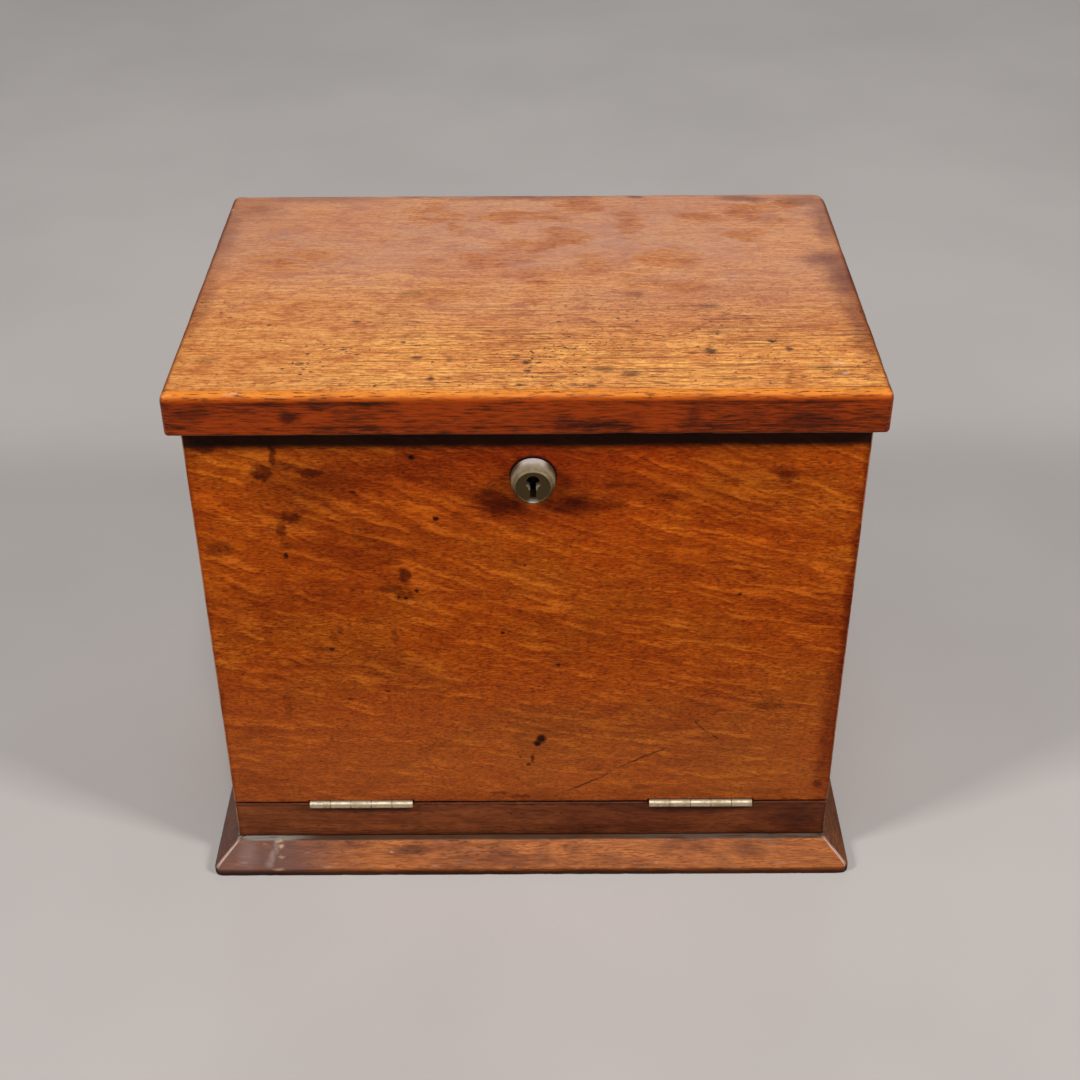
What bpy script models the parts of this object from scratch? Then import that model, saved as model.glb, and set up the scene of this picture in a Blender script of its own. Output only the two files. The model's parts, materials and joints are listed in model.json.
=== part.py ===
"""Oak writing box with a hinged lid, a fall front on butt hinges and a box lock.

Metres, +Z up. The origin is on the table under the middle of the box, the front faces -Y
and +X is to the right as seen from the front.
"""

from math import cos, pi, sin

import bmesh
import bpy
from mathutils import Matrix, Vector

# Clearances
SEAT_GAP = 0.0003
FALL_JOINT_GAP = 0.0008
FALL_TOP_GAP = 0.0012
CUT_MARGIN = 0.002
WELD = 0.00001

# Case
BODY_WIDTH = 0.292
BODY_DEPTH = 0.2014
FRONT_THICKNESS = 0.0125
SIDE_THICKNESS = 0.011
BACK_THICKNESS = 0.010
BACK_REBATE = 0.005
BASE_THICKNESS = 0.008
BASE_REBATE = 0.005
RAIL_HEIGHT = 0.0216
FALL_HEIGHT = 0.2128
FALL_ARRIS = 0.0010
RAIL_ARRIS = 0.0006

# Lid
LID_THICKNESS = 0.0196
LID_FRONT_OVERHANG = 0.0075
LID_SIDE_OVERHANG = 0.0053
LID_ARRIS = 0.0034
LID_CORNER_SHARE = 0.8
LID_UNDER_SHARE = 0.45

# Plinth
PLINTH_HEIGHT = 0.0138
PLINTH_WIDTH = 0.030
PLINTH_FRONT_LEDGE = 0.0043
PLINTH_SIDE_LEDGE = 0.0025
PLINTH_FASCIA = 0.0051
CHAMFER_RUN = 0.0093

# Butt hinges
HINGE_LENGTH = 0.0504
HINGE_END_GAP = 0.0009
HINGE_KNUCKLES = 5
KNUCKLE_RADIUS = 0.0020
LEAF_WIDTH = 0.0095
LEAF_THICKNESS = 0.0012
LEAF_GAP = 0.0004
PIN_RADIUS = 0.0010
PIN_CLEARANCE = 0.0001
AXIS_OUT = 0.0006
FINGER_INSET = 0.0004
FALL_HINGE_INSET = 0.0626
LID_HINGE_INSET = 0.058

# Countersunk holes for screws
SCREW_HEAD_RADIUS = 0.0021
SINK_DEPTH = 0.0019
SINK_MARGIN = 0.0004
LEAF_SCREWS = 3
LEAF_SCREW_PITCH = 0.018
LEAF_SCREW_LINE = 0.0060
PLATE_SCREW_INSET = 0.0027
PLATE_SCREW_TOP = 0.012
PLATE_SCREW_LOW = 0.007
LINK_SCREW_INSET = 0.0045

# Lock
LOCK_X = 0.0024
LOCK_WIDTH = 0.056
LOCK_HEIGHT = 0.040
LOCK_DEPTH = 0.0090
SELVEDGE_LENGTH = 0.066
SELVEDGE_THICKNESS = 0.0016
PLATE_HEIGHT = 0.044
PLATE_THICKNESS = 0.0015
BOLT_THROW = 0.005
BOLT_THICKNESS = 0.0018
BOLT_BAR_HEIGHT = 0.0026
BOLT_POST_WIDTH = 0.0018
BOLT_TAIL_WIDTH = 0.012
BOLT_TAIL_HEIGHT = 0.0050
TALON_RADIUS = 0.0022
STAPLE_SPACING = 0.026
STAPLE_WIDTH = 0.0022
STAPLE_DEPTH = 0.0050
STAPLE_DROP = 0.0080
STAPLE_INSET = 0.0046
EYE_DROP = 0.0050
NOTCH_CLEARANCE = 0.0006
NOTCH_FRONT_CLEARANCE = 0.0009
LINK_LENGTH = 0.048
LINK_WIDTH = 0.0085
LINK_THICKNESS = 0.0014

# Nozzle
NOZZLE_DROP = 0.0239
NOZZLE_RADIUS = 0.0097
NOZZLE_FACE_RADIUS = 0.0075
NOZZLE_HEIGHT = 0.0088
NOZZLE_COLLAR = 0.0010
NOZZLE_DISH = 0.0004
SHANK_RADIUS = 0.0060
KEYHOLE_RISE = 0.0029
KEYHOLE_RADIUS = 0.0028
KEYHOLE_SLOT = 0.0025
KEYHOLE_LENGTH = 0.0080
KEY_SWEEP = 0.0078
KEY_ROOM = 0.0036

# Writing leather
LEATHER_MARGIN = 0.022
LEATHER_TOP_MARGIN = 0.054
LEATHER_THICKNESS = 0.0010

# Letter rack
RACK_THICKNESS = 0.005
RACK_HOUSING = 0.003
RACK_FRONT_BAY = 0.038
RACK_MIDDLE_BAY = 0.040
RACK_FRONT_HEIGHT = 0.085
RACK_MIDDLE_HEIGHT = 0.125
RACK_BACK_HEIGHT = 0.165
RACK_SHOULDER = 0.030
RACK_DIP = 0.016
CROSS_THICKNESS = 0.004
FRONT_BAYS = 3
CROSS_FRONT_HEIGHT = 0.055
CROSS_BACK_HEIGHT = 0.090

# Pen tray and inkwells
TRAY_DEPTH = 0.041
TRAY_HEIGHT = 0.028
TRAY_WALL = 0.004
WELL_FLOOR = 0.004
WELL_CLEARANCE = 0.0008
TROUGH_RADIUS = 0.013
TROUGH_DEPTH = 0.014
BOTTLE_SIDE = 0.031
BOTTLE_HEIGHT = 0.034
BOTTLE_WALL = 0.0035
BOTTLE_CORNER = 0.0040
BOTTLE_SHOULDER = 0.0024
NECK_RADIUS = 0.0085
NECK_HEIGHT = 0.0075
NECK_BORE = 0.0052
CAP_WALL = 0.0012
CAP_CROWN = 0.0026

# Facets of round forms
ROD_SIDES = 16
TURNED_STEPS = 32
ARC_STEPS = 12
RAIL_ARRIS_FACETS = 1
FALL_ARRIS_FACETS = 2
LID_ARRIS_FACETS = 4
BOTTLE_CORNER_FACETS = 3
FLAT_ANGLE = pi / 180
SHARP_ANGLE = pi / 5

# Levels and faces worked out from the sizes above
CASE_BOTTOM = PLINTH_HEIGHT + SEAT_GAP
RAIL_TOP = CASE_BOTTOM + RAIL_HEIGHT
FALL_BOTTOM = RAIL_TOP + FALL_JOINT_GAP
FALL_TOP = FALL_BOTTOM + FALL_HEIGHT
LID_BOTTOM = FALL_TOP + FALL_TOP_GAP
LID_TOP = LID_BOTTOM + LID_THICKNESS
CASE_TOP = LID_BOTTOM - SEAT_GAP
BASE_TOP = CASE_BOTTOM + BASE_THICKNESS
FLOOR = BASE_TOP + SEAT_GAP
BODY_HALF = BODY_WIDTH / 2
INNER_HALF = BODY_HALF - SIDE_THICKNESS
PLINTH_FRONT_OUT = PLINTH_FRONT_LEDGE + CHAMFER_RUN
PLINTH_SIDE_OUT = PLINTH_SIDE_LEDGE + CHAMFER_RUN
PLINTH_HALF = BODY_HALF + PLINTH_SIDE_OUT
FRONT_Y = (PLINTH_FRONT_OUT - BODY_DEPTH - AXIS_OUT - KNUCKLE_RADIUS) / 2
BACK_Y = FRONT_Y + BODY_DEPTH
PLINTH_FRONT_Y = FRONT_Y - PLINTH_FRONT_OUT
FALL_BACK_Y = FRONT_Y + FRONT_THICKNESS
CASE_FRONT_Y = FALL_BACK_Y + SEAT_GAP
BACK_INNER_Y = BACK_Y - BACK_THICKNESS
FALL_AXIS = Vector((0, FRONT_Y - AXIS_OUT, RAIL_TOP + FALL_JOINT_GAP / 2))
LID_AXIS = Vector((0, BACK_Y + AXIS_OUT, (CASE_TOP + LID_BOTTOM) / 2))
TRAY_FRONT_Y = CASE_FRONT_Y + SEAT_GAP
RACK_FRONT_Y = TRAY_FRONT_Y + TRAY_DEPTH + SEAT_GAP
RACK_MIDDLE_Y = RACK_FRONT_Y + RACK_THICKNESS + RACK_FRONT_BAY
RACK_BACK_Y = RACK_MIDDLE_Y + RACK_THICKNESS + RACK_MIDDLE_BAY
STAPLE_Y = FALL_BACK_Y - STAPLE_INSET
BOLT_LEVEL = FALL_TOP - EYE_DROP
NOZZLE_Z = FALL_TOP - NOZZLE_DROP
KEYHOLE_Z = NOZZLE_Z + KEYHOLE_RISE


# Scene and materials

def clear_scene():
    for item in list(bpy.data.objects):
        bpy.data.objects.remove(item)


def new_collection(name):
    group = bpy.data.collections.new(name)
    bpy.context.scene.collection.children.link(group)
    return group


def finish(name, colour, roughness, metallic=0.0):
    mat = bpy.data.materials.new(name)
    mat.use_nodes = True
    shader = mat.node_tree.nodes["Principled BSDF"]
    shader.inputs["Base Color"].default_value = (*colour, 1.0)
    shader.inputs["Roughness"].default_value = roughness
    shader.inputs["Metallic"].default_value = metallic
    return mat


clear_scene()
PARTS = new_collection("writing_box")
CUTTERS = new_collection("cutters")

OAK_FRONT = finish("oak_front", (0.27, 0.09, 0.022), 0.40)
OAK_LID = finish("oak_lid", (0.38, 0.15, 0.035), 0.35)
OAK_CASE = finish("oak_case", (0.24, 0.085, 0.023), 0.45)
OAK_PLINTH = finish("oak_plinth", (0.16, 0.055, 0.022), 0.42)
OAK_INSIDE = finish("oak_inside", (0.36, 0.19, 0.075), 0.60)
BRASS = finish("brass", (0.58, 0.40, 0.16), 0.35, 1.0)
LEATHER = finish("leather", (0.035, 0.075, 0.038), 0.55)
GLASS = finish("glass", (0.80, 0.88, 0.86), 0.05)


# Modelling helpers

def add_piece(name, mesh, mat, location=(0, 0, 0)):
    piece = bpy.data.objects.new(name, mesh)
    piece.location = location
    mesh.materials.append(mat)
    PARTS.objects.link(piece)
    return piece


def add_tool(name, mesh, location=(0, 0, 0)):
    tool = bpy.data.objects.new(name, mesh)
    tool.location = location
    tool.hide_render = True
    tool.display_type = "WIRE"
    CUTTERS.objects.link(tool)
    return tool


def block_mesh(name, size):
    shape = bmesh.new()
    bmesh.ops.create_cube(shape, size=1.0)
    bmesh.ops.scale(shape, vec=size, verts=shape.verts)
    return mesh_from(shape, name)


def rod_mesh(name, axis, radius, length):
    shape = bmesh.new()
    bmesh.ops.create_cone(shape, cap_ends=True, segments=ROD_SIDES, radius1=radius,
                          radius2=radius, depth=length)
    turn = {"X": Matrix.Rotation(pi / 2, 3, "Y"), "Y": Matrix.Rotation(pi / 2, 3, "X")}
    bmesh.ops.rotate(shape, matrix=turn[axis], verts=shape.verts)
    mesh = mesh_from(shape, name)
    shade_round(mesh)
    return mesh


def mesh_from(shape, name):
    mesh = bpy.data.meshes.new(name)
    shape.to_mesh(mesh)
    shape.free()
    return mesh


def shade_round(mesh):
    mesh.shade_smooth()
    mesh.set_sharp_from_angle(angle=SHARP_ANGLE)


def middle_and_size(low, high):
    low = Vector(low)
    high = Vector(high)
    return (low + high) / 2, high - low


def block(name, low, high, mat):
    middle, size = middle_and_size(low, high)
    return add_piece(name, block_mesh(name, size), mat, middle)


def tool_block(name, low, high):
    middle, size = middle_and_size(low, high)
    return add_tool(name, block_mesh(name, size), middle)


def tool_rod(name, axis, radius, length, middle):
    return add_tool(name, rod_mesh(name, axis, radius, length), middle)


def countersink(name, mouth, outward):
    """A cone that widens towards a plate's outward face, where its mouth lies."""
    outward = Vector(outward)
    shape = bmesh.new()
    bmesh.ops.create_cone(shape, cap_ends=True, segments=ROD_SIDES,
                          radius1=SCREW_HEAD_RADIUS - SINK_DEPTH,
                          radius2=SCREW_HEAD_RADIUS + SINK_MARGIN,
                          depth=SINK_DEPTH + SINK_MARGIN)
    turn = Vector((0, 0, 1)).rotation_difference(outward).to_matrix()
    bmesh.ops.rotate(shape, matrix=turn, verts=shape.verts)
    middle = Vector(mouth) + outward * (SINK_MARGIN - SINK_DEPTH) / 2
    return add_tool(name, mesh_from(shape, name), middle)


def add_boolean(piece, tool, operation):
    step = piece.modifiers.new(tool.name, "BOOLEAN")
    step.operation = operation
    step.object = tool
    step.solver = "EXACT"


def cut(piece, *tools):
    for tool in tools:
        add_boolean(piece, tool, "DIFFERENCE")


def join(piece, *tools):
    for tool in tools:
        add_boolean(piece, tool, "UNION")


def round_edges(piece, width, facets):
    step = piece.modifiers.new("arris", "BEVEL")
    step.width = width
    step.segments = facets
    return step


def outline_mesh(name, points, thickness, place):
    """A closed flat outline, extruded by its thickness about its plane and set at a place."""
    curve = bpy.data.curves.new(name, "CURVE")
    curve.dimensions = "2D"
    curve.fill_mode = "BOTH"
    curve.extrude = thickness / 2
    spline = curve.splines.new("POLY")
    spline.points.add(len(points) - 1)
    for point, (across, up) in zip(spline.points, points):
        point.co = (across, up, 0, 1)
    spline.use_cyclic_u = True
    drawn = bpy.data.objects.new(name, curve)
    CUTTERS.objects.link(drawn)
    graph = bpy.context.evaluated_depsgraph_get()
    mesh = bpy.data.meshes.new_from_object(drawn.evaluated_get(graph))
    bpy.data.objects.remove(drawn)
    shape = bmesh.new()
    shape.from_mesh(mesh)
    bmesh.ops.remove_doubles(shape, verts=shape.verts, dist=WELD)
    bmesh.ops.dissolve_limit(shape, angle_limit=FLAT_ANGLE, verts=shape.verts, edges=shape.edges)
    bmesh.ops.transform(shape, matrix=place, verts=shape.verts)
    bmesh.ops.recalc_face_normals(shape, faces=shape.faces)
    bpy.data.meshes.remove(mesh)
    return mesh_from(shape, name)


def frame_at(across, up, origin):
    """Placing matrix that lays an outline's two directions along the given ones."""
    across = Vector(across)
    up = Vector(up)
    turn = Matrix((across, up, across.cross(up))).transposed()
    return Matrix.Translation(origin) @ turn.to_4x4()


def turned_piece(name, profile, mat, location):
    """A profile of (radius, height) points, top to bottom, turned about its upright axis."""
    shape = bmesh.new()
    points = [shape.verts.new((radius, 0, height)) for radius, height in profile]
    for first, second in zip(points, points[1:]):
        shape.edges.new((first, second))
    piece = add_piece(name, mesh_from(shape, name), mat, location)
    step = piece.modifiers.new("turned", "SCREW")
    step.steps = TURNED_STEPS
    step.render_steps = TURNED_STEPS
    step.use_merge_vertices = True
    step.merge_threshold = WELD
    step.use_smooth_shade = True
    return piece


def quarter(radius_in, radius_out, low, high):
    """Points of a quarter ellipse, from its top inside end to its outer foot."""
    steps = [pi / 2 * number / ARC_STEPS for number in range(ARC_STEPS + 1)]
    return [(radius_in + (radius_out - radius_in) * sin(turn), low + (high - low) * cos(turn))
            for turn in steps]


def pivot(name, location):
    empty = bpy.data.objects.new(name, None)
    empty.location = location
    PARTS.objects.link(empty)
    return empty


def carry(carrier, *pieces):
    for piece in pieces:
        piece.parent = carrier
        piece.matrix_parent_inverse = Matrix.Translation(-carrier.location)


# Plinth

def plinth_section():
    return [(0, 0), (PLINTH_WIDTH, 0), (PLINTH_WIDTH, PLINTH_HEIGHT),
            (CHAMFER_RUN, PLINTH_HEIGHT), (0, PLINTH_FASCIA)]


def mitre(mesh, corner, outward):
    """Cuts a moulding at a slanting plane and closes its end."""
    shape = bmesh.new()
    shape.from_mesh(mesh)
    everything = list(shape.verts) + list(shape.edges) + list(shape.faces)
    bmesh.ops.bisect_plane(shape, geom=everything, plane_co=corner, plane_no=outward,
                           clear_outer=True)
    bmesh.ops.holes_fill(shape, edges=[edge for edge in shape.edges if edge.is_boundary])
    bmesh.ops.recalc_face_normals(shape, faces=shape.faces)
    shape.to_mesh(mesh)
    shape.free()


def make_plinth_front():
    place = frame_at((0, 1, 0), (0, 0, 1), (0, PLINTH_FRONT_Y, 0))
    mesh = outline_mesh("plinth_front", plinth_section(), 2 * PLINTH_HALF, place)
    for side in (-1, 1):
        outward = Vector((side, 1, 0)).normalized()
        corner = Vector((side * PLINTH_HALF, PLINTH_FRONT_Y, 0)) - outward * SEAT_GAP / 2
        mitre(mesh, corner, outward)
    add_piece("plinth_front", mesh, OAK_PLINTH)


def make_plinth_side(name, side):
    length = BACK_Y - PLINTH_FRONT_Y
    middle = (side * PLINTH_HALF, (BACK_Y + PLINTH_FRONT_Y) / 2, 0)
    mesh = outline_mesh(name, plinth_section(), length, frame_at((-side, 0, 0), (0, 0, 1), middle))
    outward = Vector((-side, -1, 0)).normalized()
    corner = Vector((side * PLINTH_HALF, PLINTH_FRONT_Y, 0)) - outward * SEAT_GAP / 2
    mitre(mesh, corner, outward)
    add_piece(name, mesh, OAK_PLINTH)


def make_plinth_back():
    half = PLINTH_HALF - PLINTH_WIDTH - SEAT_GAP
    block("plinth_back", (-half, BACK_Y - PLINTH_WIDTH, 0), (half, BACK_Y, PLINTH_HEIGHT),
          OAK_PLINTH)


# Carcass

def rack_boards():
    """Name, front face and height of each letter rack board."""
    return [("rack_front", RACK_FRONT_Y, RACK_FRONT_HEIGHT),
            ("rack_middle", RACK_MIDDLE_Y, RACK_MIDDLE_HEIGHT),
            ("rack_back", RACK_BACK_Y, RACK_BACK_HEIGHT)]


def make_side(name, side):
    inner = side * INNER_HALF
    outer = side * BODY_HALF
    panel = block(name, (min(inner, outer), CASE_FRONT_Y, CASE_BOTTOM),
                  (max(inner, outer), BACK_Y, CASE_TOP), OAK_CASE)
    open_x = side * (INNER_HALF - CUT_MARGIN)
    back_x = side * (INNER_HALF + BACK_REBATE)
    base_x = side * (INNER_HALF + BASE_REBATE)
    rack_x = side * (INNER_HALF + RACK_HOUSING)
    cut(panel, tool_block(name + "_back_rebate",
                          (min(open_x, back_x), BACK_INNER_Y, CASE_BOTTOM - CUT_MARGIN),
                          (max(open_x, back_x), BACK_Y + CUT_MARGIN, CASE_TOP + CUT_MARGIN)))
    cut(panel, tool_block(name + "_base_rebate",
                          (min(open_x, base_x), CASE_FRONT_Y - CUT_MARGIN, CASE_BOTTOM - CUT_MARGIN),
                          (max(open_x, base_x), BACK_INNER_Y + CUT_MARGIN, FLOOR)))
    for board, front_y, height in rack_boards():
        cut(panel, tool_block(name + "_housing_" + board,
                              (min(open_x, rack_x), front_y - SEAT_GAP, FLOOR - SEAT_GAP),
                              (max(open_x, rack_x), front_y + RACK_THICKNESS + SEAT_GAP,
                               FLOOR + height + SEAT_GAP)))


def make_back_panel():
    half = INNER_HALF + BACK_REBATE - SEAT_GAP
    panel = block("back_panel", (-half, BACK_INNER_Y + SEAT_GAP, CASE_BOTTOM),
                  (half, BACK_Y, CASE_TOP), OAK_CASE)
    cut_hinge_seats(panel, LID_AXIS, -1, LID_HINGE_INSET, -1)


def make_base_board():
    half = INNER_HALF + BASE_REBATE - SEAT_GAP
    block("base_board", (-half, CASE_FRONT_Y + SEAT_GAP, CASE_BOTTOM),
          (half, BACK_INNER_Y - SEAT_GAP, BASE_TOP), OAK_INSIDE)


def make_front_rail():
    rail = block("front_rail", (-BODY_HALF, FRONT_Y, CASE_BOTTOM),
                 (BODY_HALF, FALL_BACK_Y, RAIL_TOP), OAK_FRONT)
    round_edges(rail, RAIL_ARRIS, RAIL_ARRIS_FACETS)
    cut_hinge_seats(rail, FALL_AXIS, 1, FALL_HINGE_INSET, -1)


# Butt hinges

def hinge_centres(inset):
    """Middle of each hinge of a pair, set in from the sides of the body."""
    return [("left", inset - BODY_HALF), ("right", BODY_HALF - inset)]


def leaf_levels(axis, layer):
    """Lower and upper face of a leaf that lies below (-1) or above (1) the hinge axis."""
    near = axis.z + layer * LEAF_GAP / 2
    far = near + layer * LEAF_THICKNESS
    return min(near, far), max(near, far)


def cut_hinge_seats(board, axis, reach, inset, layer):
    """Recess for a leaf and room for the knuckles at each hinge along a board's edge."""
    low, high = leaf_levels(axis, layer)
    far_y = axis.y + reach * (LEAF_WIDTH + SEAT_GAP)
    start_y = axis.y - reach * CUT_MARGIN
    floor_z = low - SEAT_GAP if layer < 0 else high + SEAT_GAP
    open_z = axis.z - layer * CUT_MARGIN
    half = HINGE_LENGTH / 2 + HINGE_END_GAP
    for hand, centre in hinge_centres(inset):
        cut(board, tool_block(f"{board.name}_seat_{hand}",
                              (centre - half, min(start_y, far_y), min(floor_z, open_z)),
                              (centre + half, max(start_y, far_y), max(floor_z, open_z))))
        cut(board, tool_rod(f"{board.name}_knuckles_{hand}", "X", KNUCKLE_RADIUS + SEAT_GAP,
                            2 * half, (centre, axis.y, axis.z)))


def knuckle_span(number):
    """Ends of one knuckle along the hinge, with running room to its neighbours."""
    pitch = HINGE_LENGTH / HINGE_KNUCKLES
    start = -HINGE_LENGTH / 2 + number * pitch
    end = start + pitch
    if number > 0:
        start += SEAT_GAP / 2
    if number < HINGE_KNUCKLES - 1:
        end -= SEAT_GAP / 2
    return start, end


def make_leaf(name, centre, axis, reach, layer, knuckles):
    """A plate notched for the other leaf's knuckles, with its own knuckles rolled on its edge."""
    low, high = leaf_levels(axis, layer)
    half = HINGE_LENGTH / 2 - FINGER_INSET
    far_y = axis.y + reach * LEAF_WIDTH
    leaf = block(name, (centre - half, min(axis.y, far_y), low),
                 (centre + half, max(axis.y, far_y), high), BRASS)
    clear_y = axis.y + reach * (KNUCKLE_RADIUS + SEAT_GAP)
    open_y = axis.y - reach * CUT_MARGIN
    for number in set(range(HINGE_KNUCKLES)) - set(knuckles):
        start, end = knuckle_span(number)
        room = SEAT_GAP + FINGER_INSET
        cut(leaf, tool_block(f"{name}_notch_{number}",
                             (centre + start - room, min(open_y, clear_y), low - CUT_MARGIN),
                             (centre + end + room, max(open_y, clear_y), high + CUT_MARGIN)))
    for number in knuckles:
        start, end = knuckle_span(number)
        join(leaf, tool_rod(f"{name}_knuckle_{number}", "X", KNUCKLE_RADIUS, end - start,
                            (centre + (start + end) / 2, axis.y, axis.z)))
    cut(leaf, tool_rod(name + "_bore", "X", PIN_RADIUS + PIN_CLEARANCE,
                       HINGE_LENGTH + 2 * CUT_MARGIN, (centre, axis.y, axis.z)))
    mouth_z = low if layer > 0 else high
    for number in range(LEAF_SCREWS):
        x = centre + (number - (LEAF_SCREWS - 1) / 2) * LEAF_SCREW_PITCH
        cut(leaf, countersink(f"{name}_screw_{number}", (x, axis.y + reach * LEAF_SCREW_LINE, mouth_z),
                              (0, 0, -layer)))
    return leaf


def make_hinges(name, still, moving, axis, reach, inset, carrier):
    """A pair of butts: three knuckles and the pin stay with the case, two move."""
    for hand, centre in hinge_centres(inset):
        stem = f"{name}_hinge_{hand}"
        make_leaf(f"{stem}_{still}_leaf", centre, axis, reach, -1, range(0, HINGE_KNUCKLES, 2))
        swinging = make_leaf(f"{stem}_{moving}_leaf", centre, axis, reach, 1,
                             range(1, HINGE_KNUCKLES, 2))
        carry(carrier, swinging)
        pin = rod_mesh(stem + "_pin", "X", PIN_RADIUS, HINGE_LENGTH)
        add_piece(stem + "_pin", pin, BRASS, (centre, axis.y, axis.z))


# Fall front

def make_fall_front():
    board = block("fall_front", (-BODY_HALF, FRONT_Y, FALL_BOTTOM),
                  (BODY_HALF, FALL_BACK_Y, FALL_TOP), OAK_FRONT)
    round_edges(board, FALL_ARRIS, FALL_ARRIS_FACETS)
    cut_hinge_seats(board, FALL_AXIS, 1, FALL_HINGE_INSET, 1)
    cut_lock_mortise(board)
    low, high = leather_box(SEAT_GAP)
    cut(board, tool_block("leather_recess", low, high + Vector((0, CUT_MARGIN, 0))))
    return board


def cut_lock_mortise(board):
    half = LOCK_WIDTH / 2 + SEAT_GAP
    selvedge_half = SELVEDGE_LENGTH / 2 + SEAT_GAP
    case_y = FALL_BACK_Y - LOCK_DEPTH - SEAT_GAP
    plate_y = FALL_BACK_Y - PLATE_THICKNESS - SEAT_GAP
    open_y = FALL_BACK_Y + CUT_MARGIN
    open_z = FALL_TOP + CUT_MARGIN
    cut(board, tool_block("lock_mortise",
                          (LOCK_X - half, case_y, FALL_TOP - LOCK_HEIGHT - SEAT_GAP),
                          (LOCK_X + half, open_y, open_z)))
    cut(board, tool_block("selvedge_recess",
                          (LOCK_X - selvedge_half, case_y, FALL_TOP - SELVEDGE_THICKNESS - SEAT_GAP),
                          (LOCK_X + selvedge_half, open_y, open_z)))
    cut(board, tool_block("lock_plate_recess",
                          (LOCK_X - selvedge_half, plate_y, FALL_TOP - PLATE_HEIGHT - SEAT_GAP),
                          (LOCK_X + selvedge_half, open_y, open_z)))
    cut(board, tool_rod("nozzle_hole", "Y", SHANK_RADIUS + SEAT_GAP, 2 * FRONT_THICKNESS,
                        (LOCK_X, FRONT_Y, NOZZLE_Z)))


def leather_box(gap):
    """Corners of the leather, grown by a gap on its hidden sides."""
    half = BODY_HALF - LEATHER_MARGIN + gap
    low = Vector((-half, FALL_BACK_Y - LEATHER_THICKNESS - gap, FALL_BOTTOM + LEATHER_MARGIN - gap))
    high = Vector((half, FALL_BACK_Y, FALL_TOP - LEATHER_TOP_MARGIN + gap))
    return low, high


def make_writing_leather():
    low, high = leather_box(0)
    return block("writing_leather", low, high, LEATHER)


# Lock

def staple_centres():
    return [LOCK_X - STAPLE_SPACING / 2, LOCK_X + STAPLE_SPACING / 2]


def notch_tools(name):
    """Openings for the two staples, open to the top and to the inner face."""
    half = STAPLE_WIDTH / 2 + NOTCH_CLEARANCE
    front_y = STAPLE_Y - STAPLE_DEPTH / 2 - NOTCH_FRONT_CLEARANCE
    low_z = FALL_TOP - STAPLE_DROP - NOTCH_CLEARANCE
    return [tool_block(f"{name}_notch_{number}", (x - half, front_y, low_z),
                       (x + half, FALL_BACK_Y + CUT_MARGIN, FALL_TOP + CUT_MARGIN))
            for number, x in enumerate(staple_centres())]


def keyhole_tools(name, start_y, end_y):
    """A round eye with a slot below it, cut from front to back."""
    middle_y = (start_y + end_y) / 2
    eye = tool_rod(name + "_eye", "Y", KEYHOLE_RADIUS, end_y - start_y,
                   (LOCK_X, middle_y, KEYHOLE_Z))
    slot = tool_block(name + "_slot", (LOCK_X - KEYHOLE_SLOT / 2, start_y, KEYHOLE_Z - KEYHOLE_LENGTH),
                      (LOCK_X + KEYHOLE_SLOT / 2, end_y, KEYHOLE_Z))
    return eye, slot


def bolt_layout():
    """Places along X of the bolt's posts and finger tips, withdrawn.

    A finger is as long as the throw less the notch's clearance, so that a thrown bolt's posts
    stop just short of the staples.
    """
    tip_gap = STAPLE_WIDTH / 2 + NOTCH_CLEARANCE + SEAT_GAP
    finger_length = BOLT_THROW - NOTCH_CLEARANCE
    tips = [x - tip_gap for x in staple_centres()]
    posts = [tip - finger_length - BOLT_POST_WIDTH for tip in tips]
    return posts, tips


def bolt_bar_top():
    return FALL_TOP - STAPLE_DROP - 2 * NOTCH_CLEARANCE


def make_lock_case():
    front_y = FALL_BACK_Y - LOCK_DEPTH
    case = block("lock_case",
                 (LOCK_X - LOCK_WIDTH / 2, front_y, FALL_TOP - LOCK_HEIGHT),
                 (LOCK_X + LOCK_WIDTH / 2, FALL_BACK_Y - PLATE_THICKNESS - SEAT_GAP,
                  FALL_TOP - SELVEDGE_THICKNESS / 2), BRASS)
    join(case, tool_block("selvedge",
                          (LOCK_X - SELVEDGE_LENGTH / 2, front_y, FALL_TOP - SELVEDGE_THICKNESS),
                          (LOCK_X + SELVEDGE_LENGTH / 2, FALL_BACK_Y, FALL_TOP)))
    cut(case, *notch_tools("case"))
    cut(case, *bolt_room_tools())
    chamber_y = STAPLE_Y - BOLT_THICKNESS / 2 - SEAT_GAP + KEY_ROOM / 2
    cut(case, tool_rod("key_chamber", "Y", KEY_SWEEP, KEY_ROOM, (LOCK_X, chamber_y, KEYHOLE_Z)))
    cut(case, *keyhole_tools("case_keyhole", front_y - CUT_MARGIN, chamber_y))
    return case


def bolt_room_tools():
    """The slot that the bolt's fingers and bar slide in, and the room round its tail."""
    posts, tips = bolt_layout()
    front_y = STAPLE_Y - BOLT_THICKNESS / 2 - SEAT_GAP
    back_y = STAPLE_Y + BOLT_THICKNESS / 2 + SEAT_GAP
    bar_top = bolt_bar_top()
    slot = tool_block("bolt_slot",
                      (posts[0] - SEAT_GAP, front_y, bar_top - BOLT_BAR_HEIGHT - SEAT_GAP),
                      (tips[1] + BOLT_THROW + SEAT_GAP, back_y,
                       BOLT_LEVEL + BOLT_BAR_HEIGHT / 2 + SEAT_GAP))
    tail_low = bar_top - BOLT_BAR_HEIGHT - BOLT_TAIL_HEIGHT - SEAT_GAP
    tail = tool_block("tail_room",
                      (LOCK_X - BOLT_TAIL_WIDTH / 2 - SEAT_GAP, front_y, tail_low),
                      (LOCK_X + BOLT_TAIL_WIDTH / 2 + BOLT_THROW + SEAT_GAP, back_y, bar_top))
    return slot, tail


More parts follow.
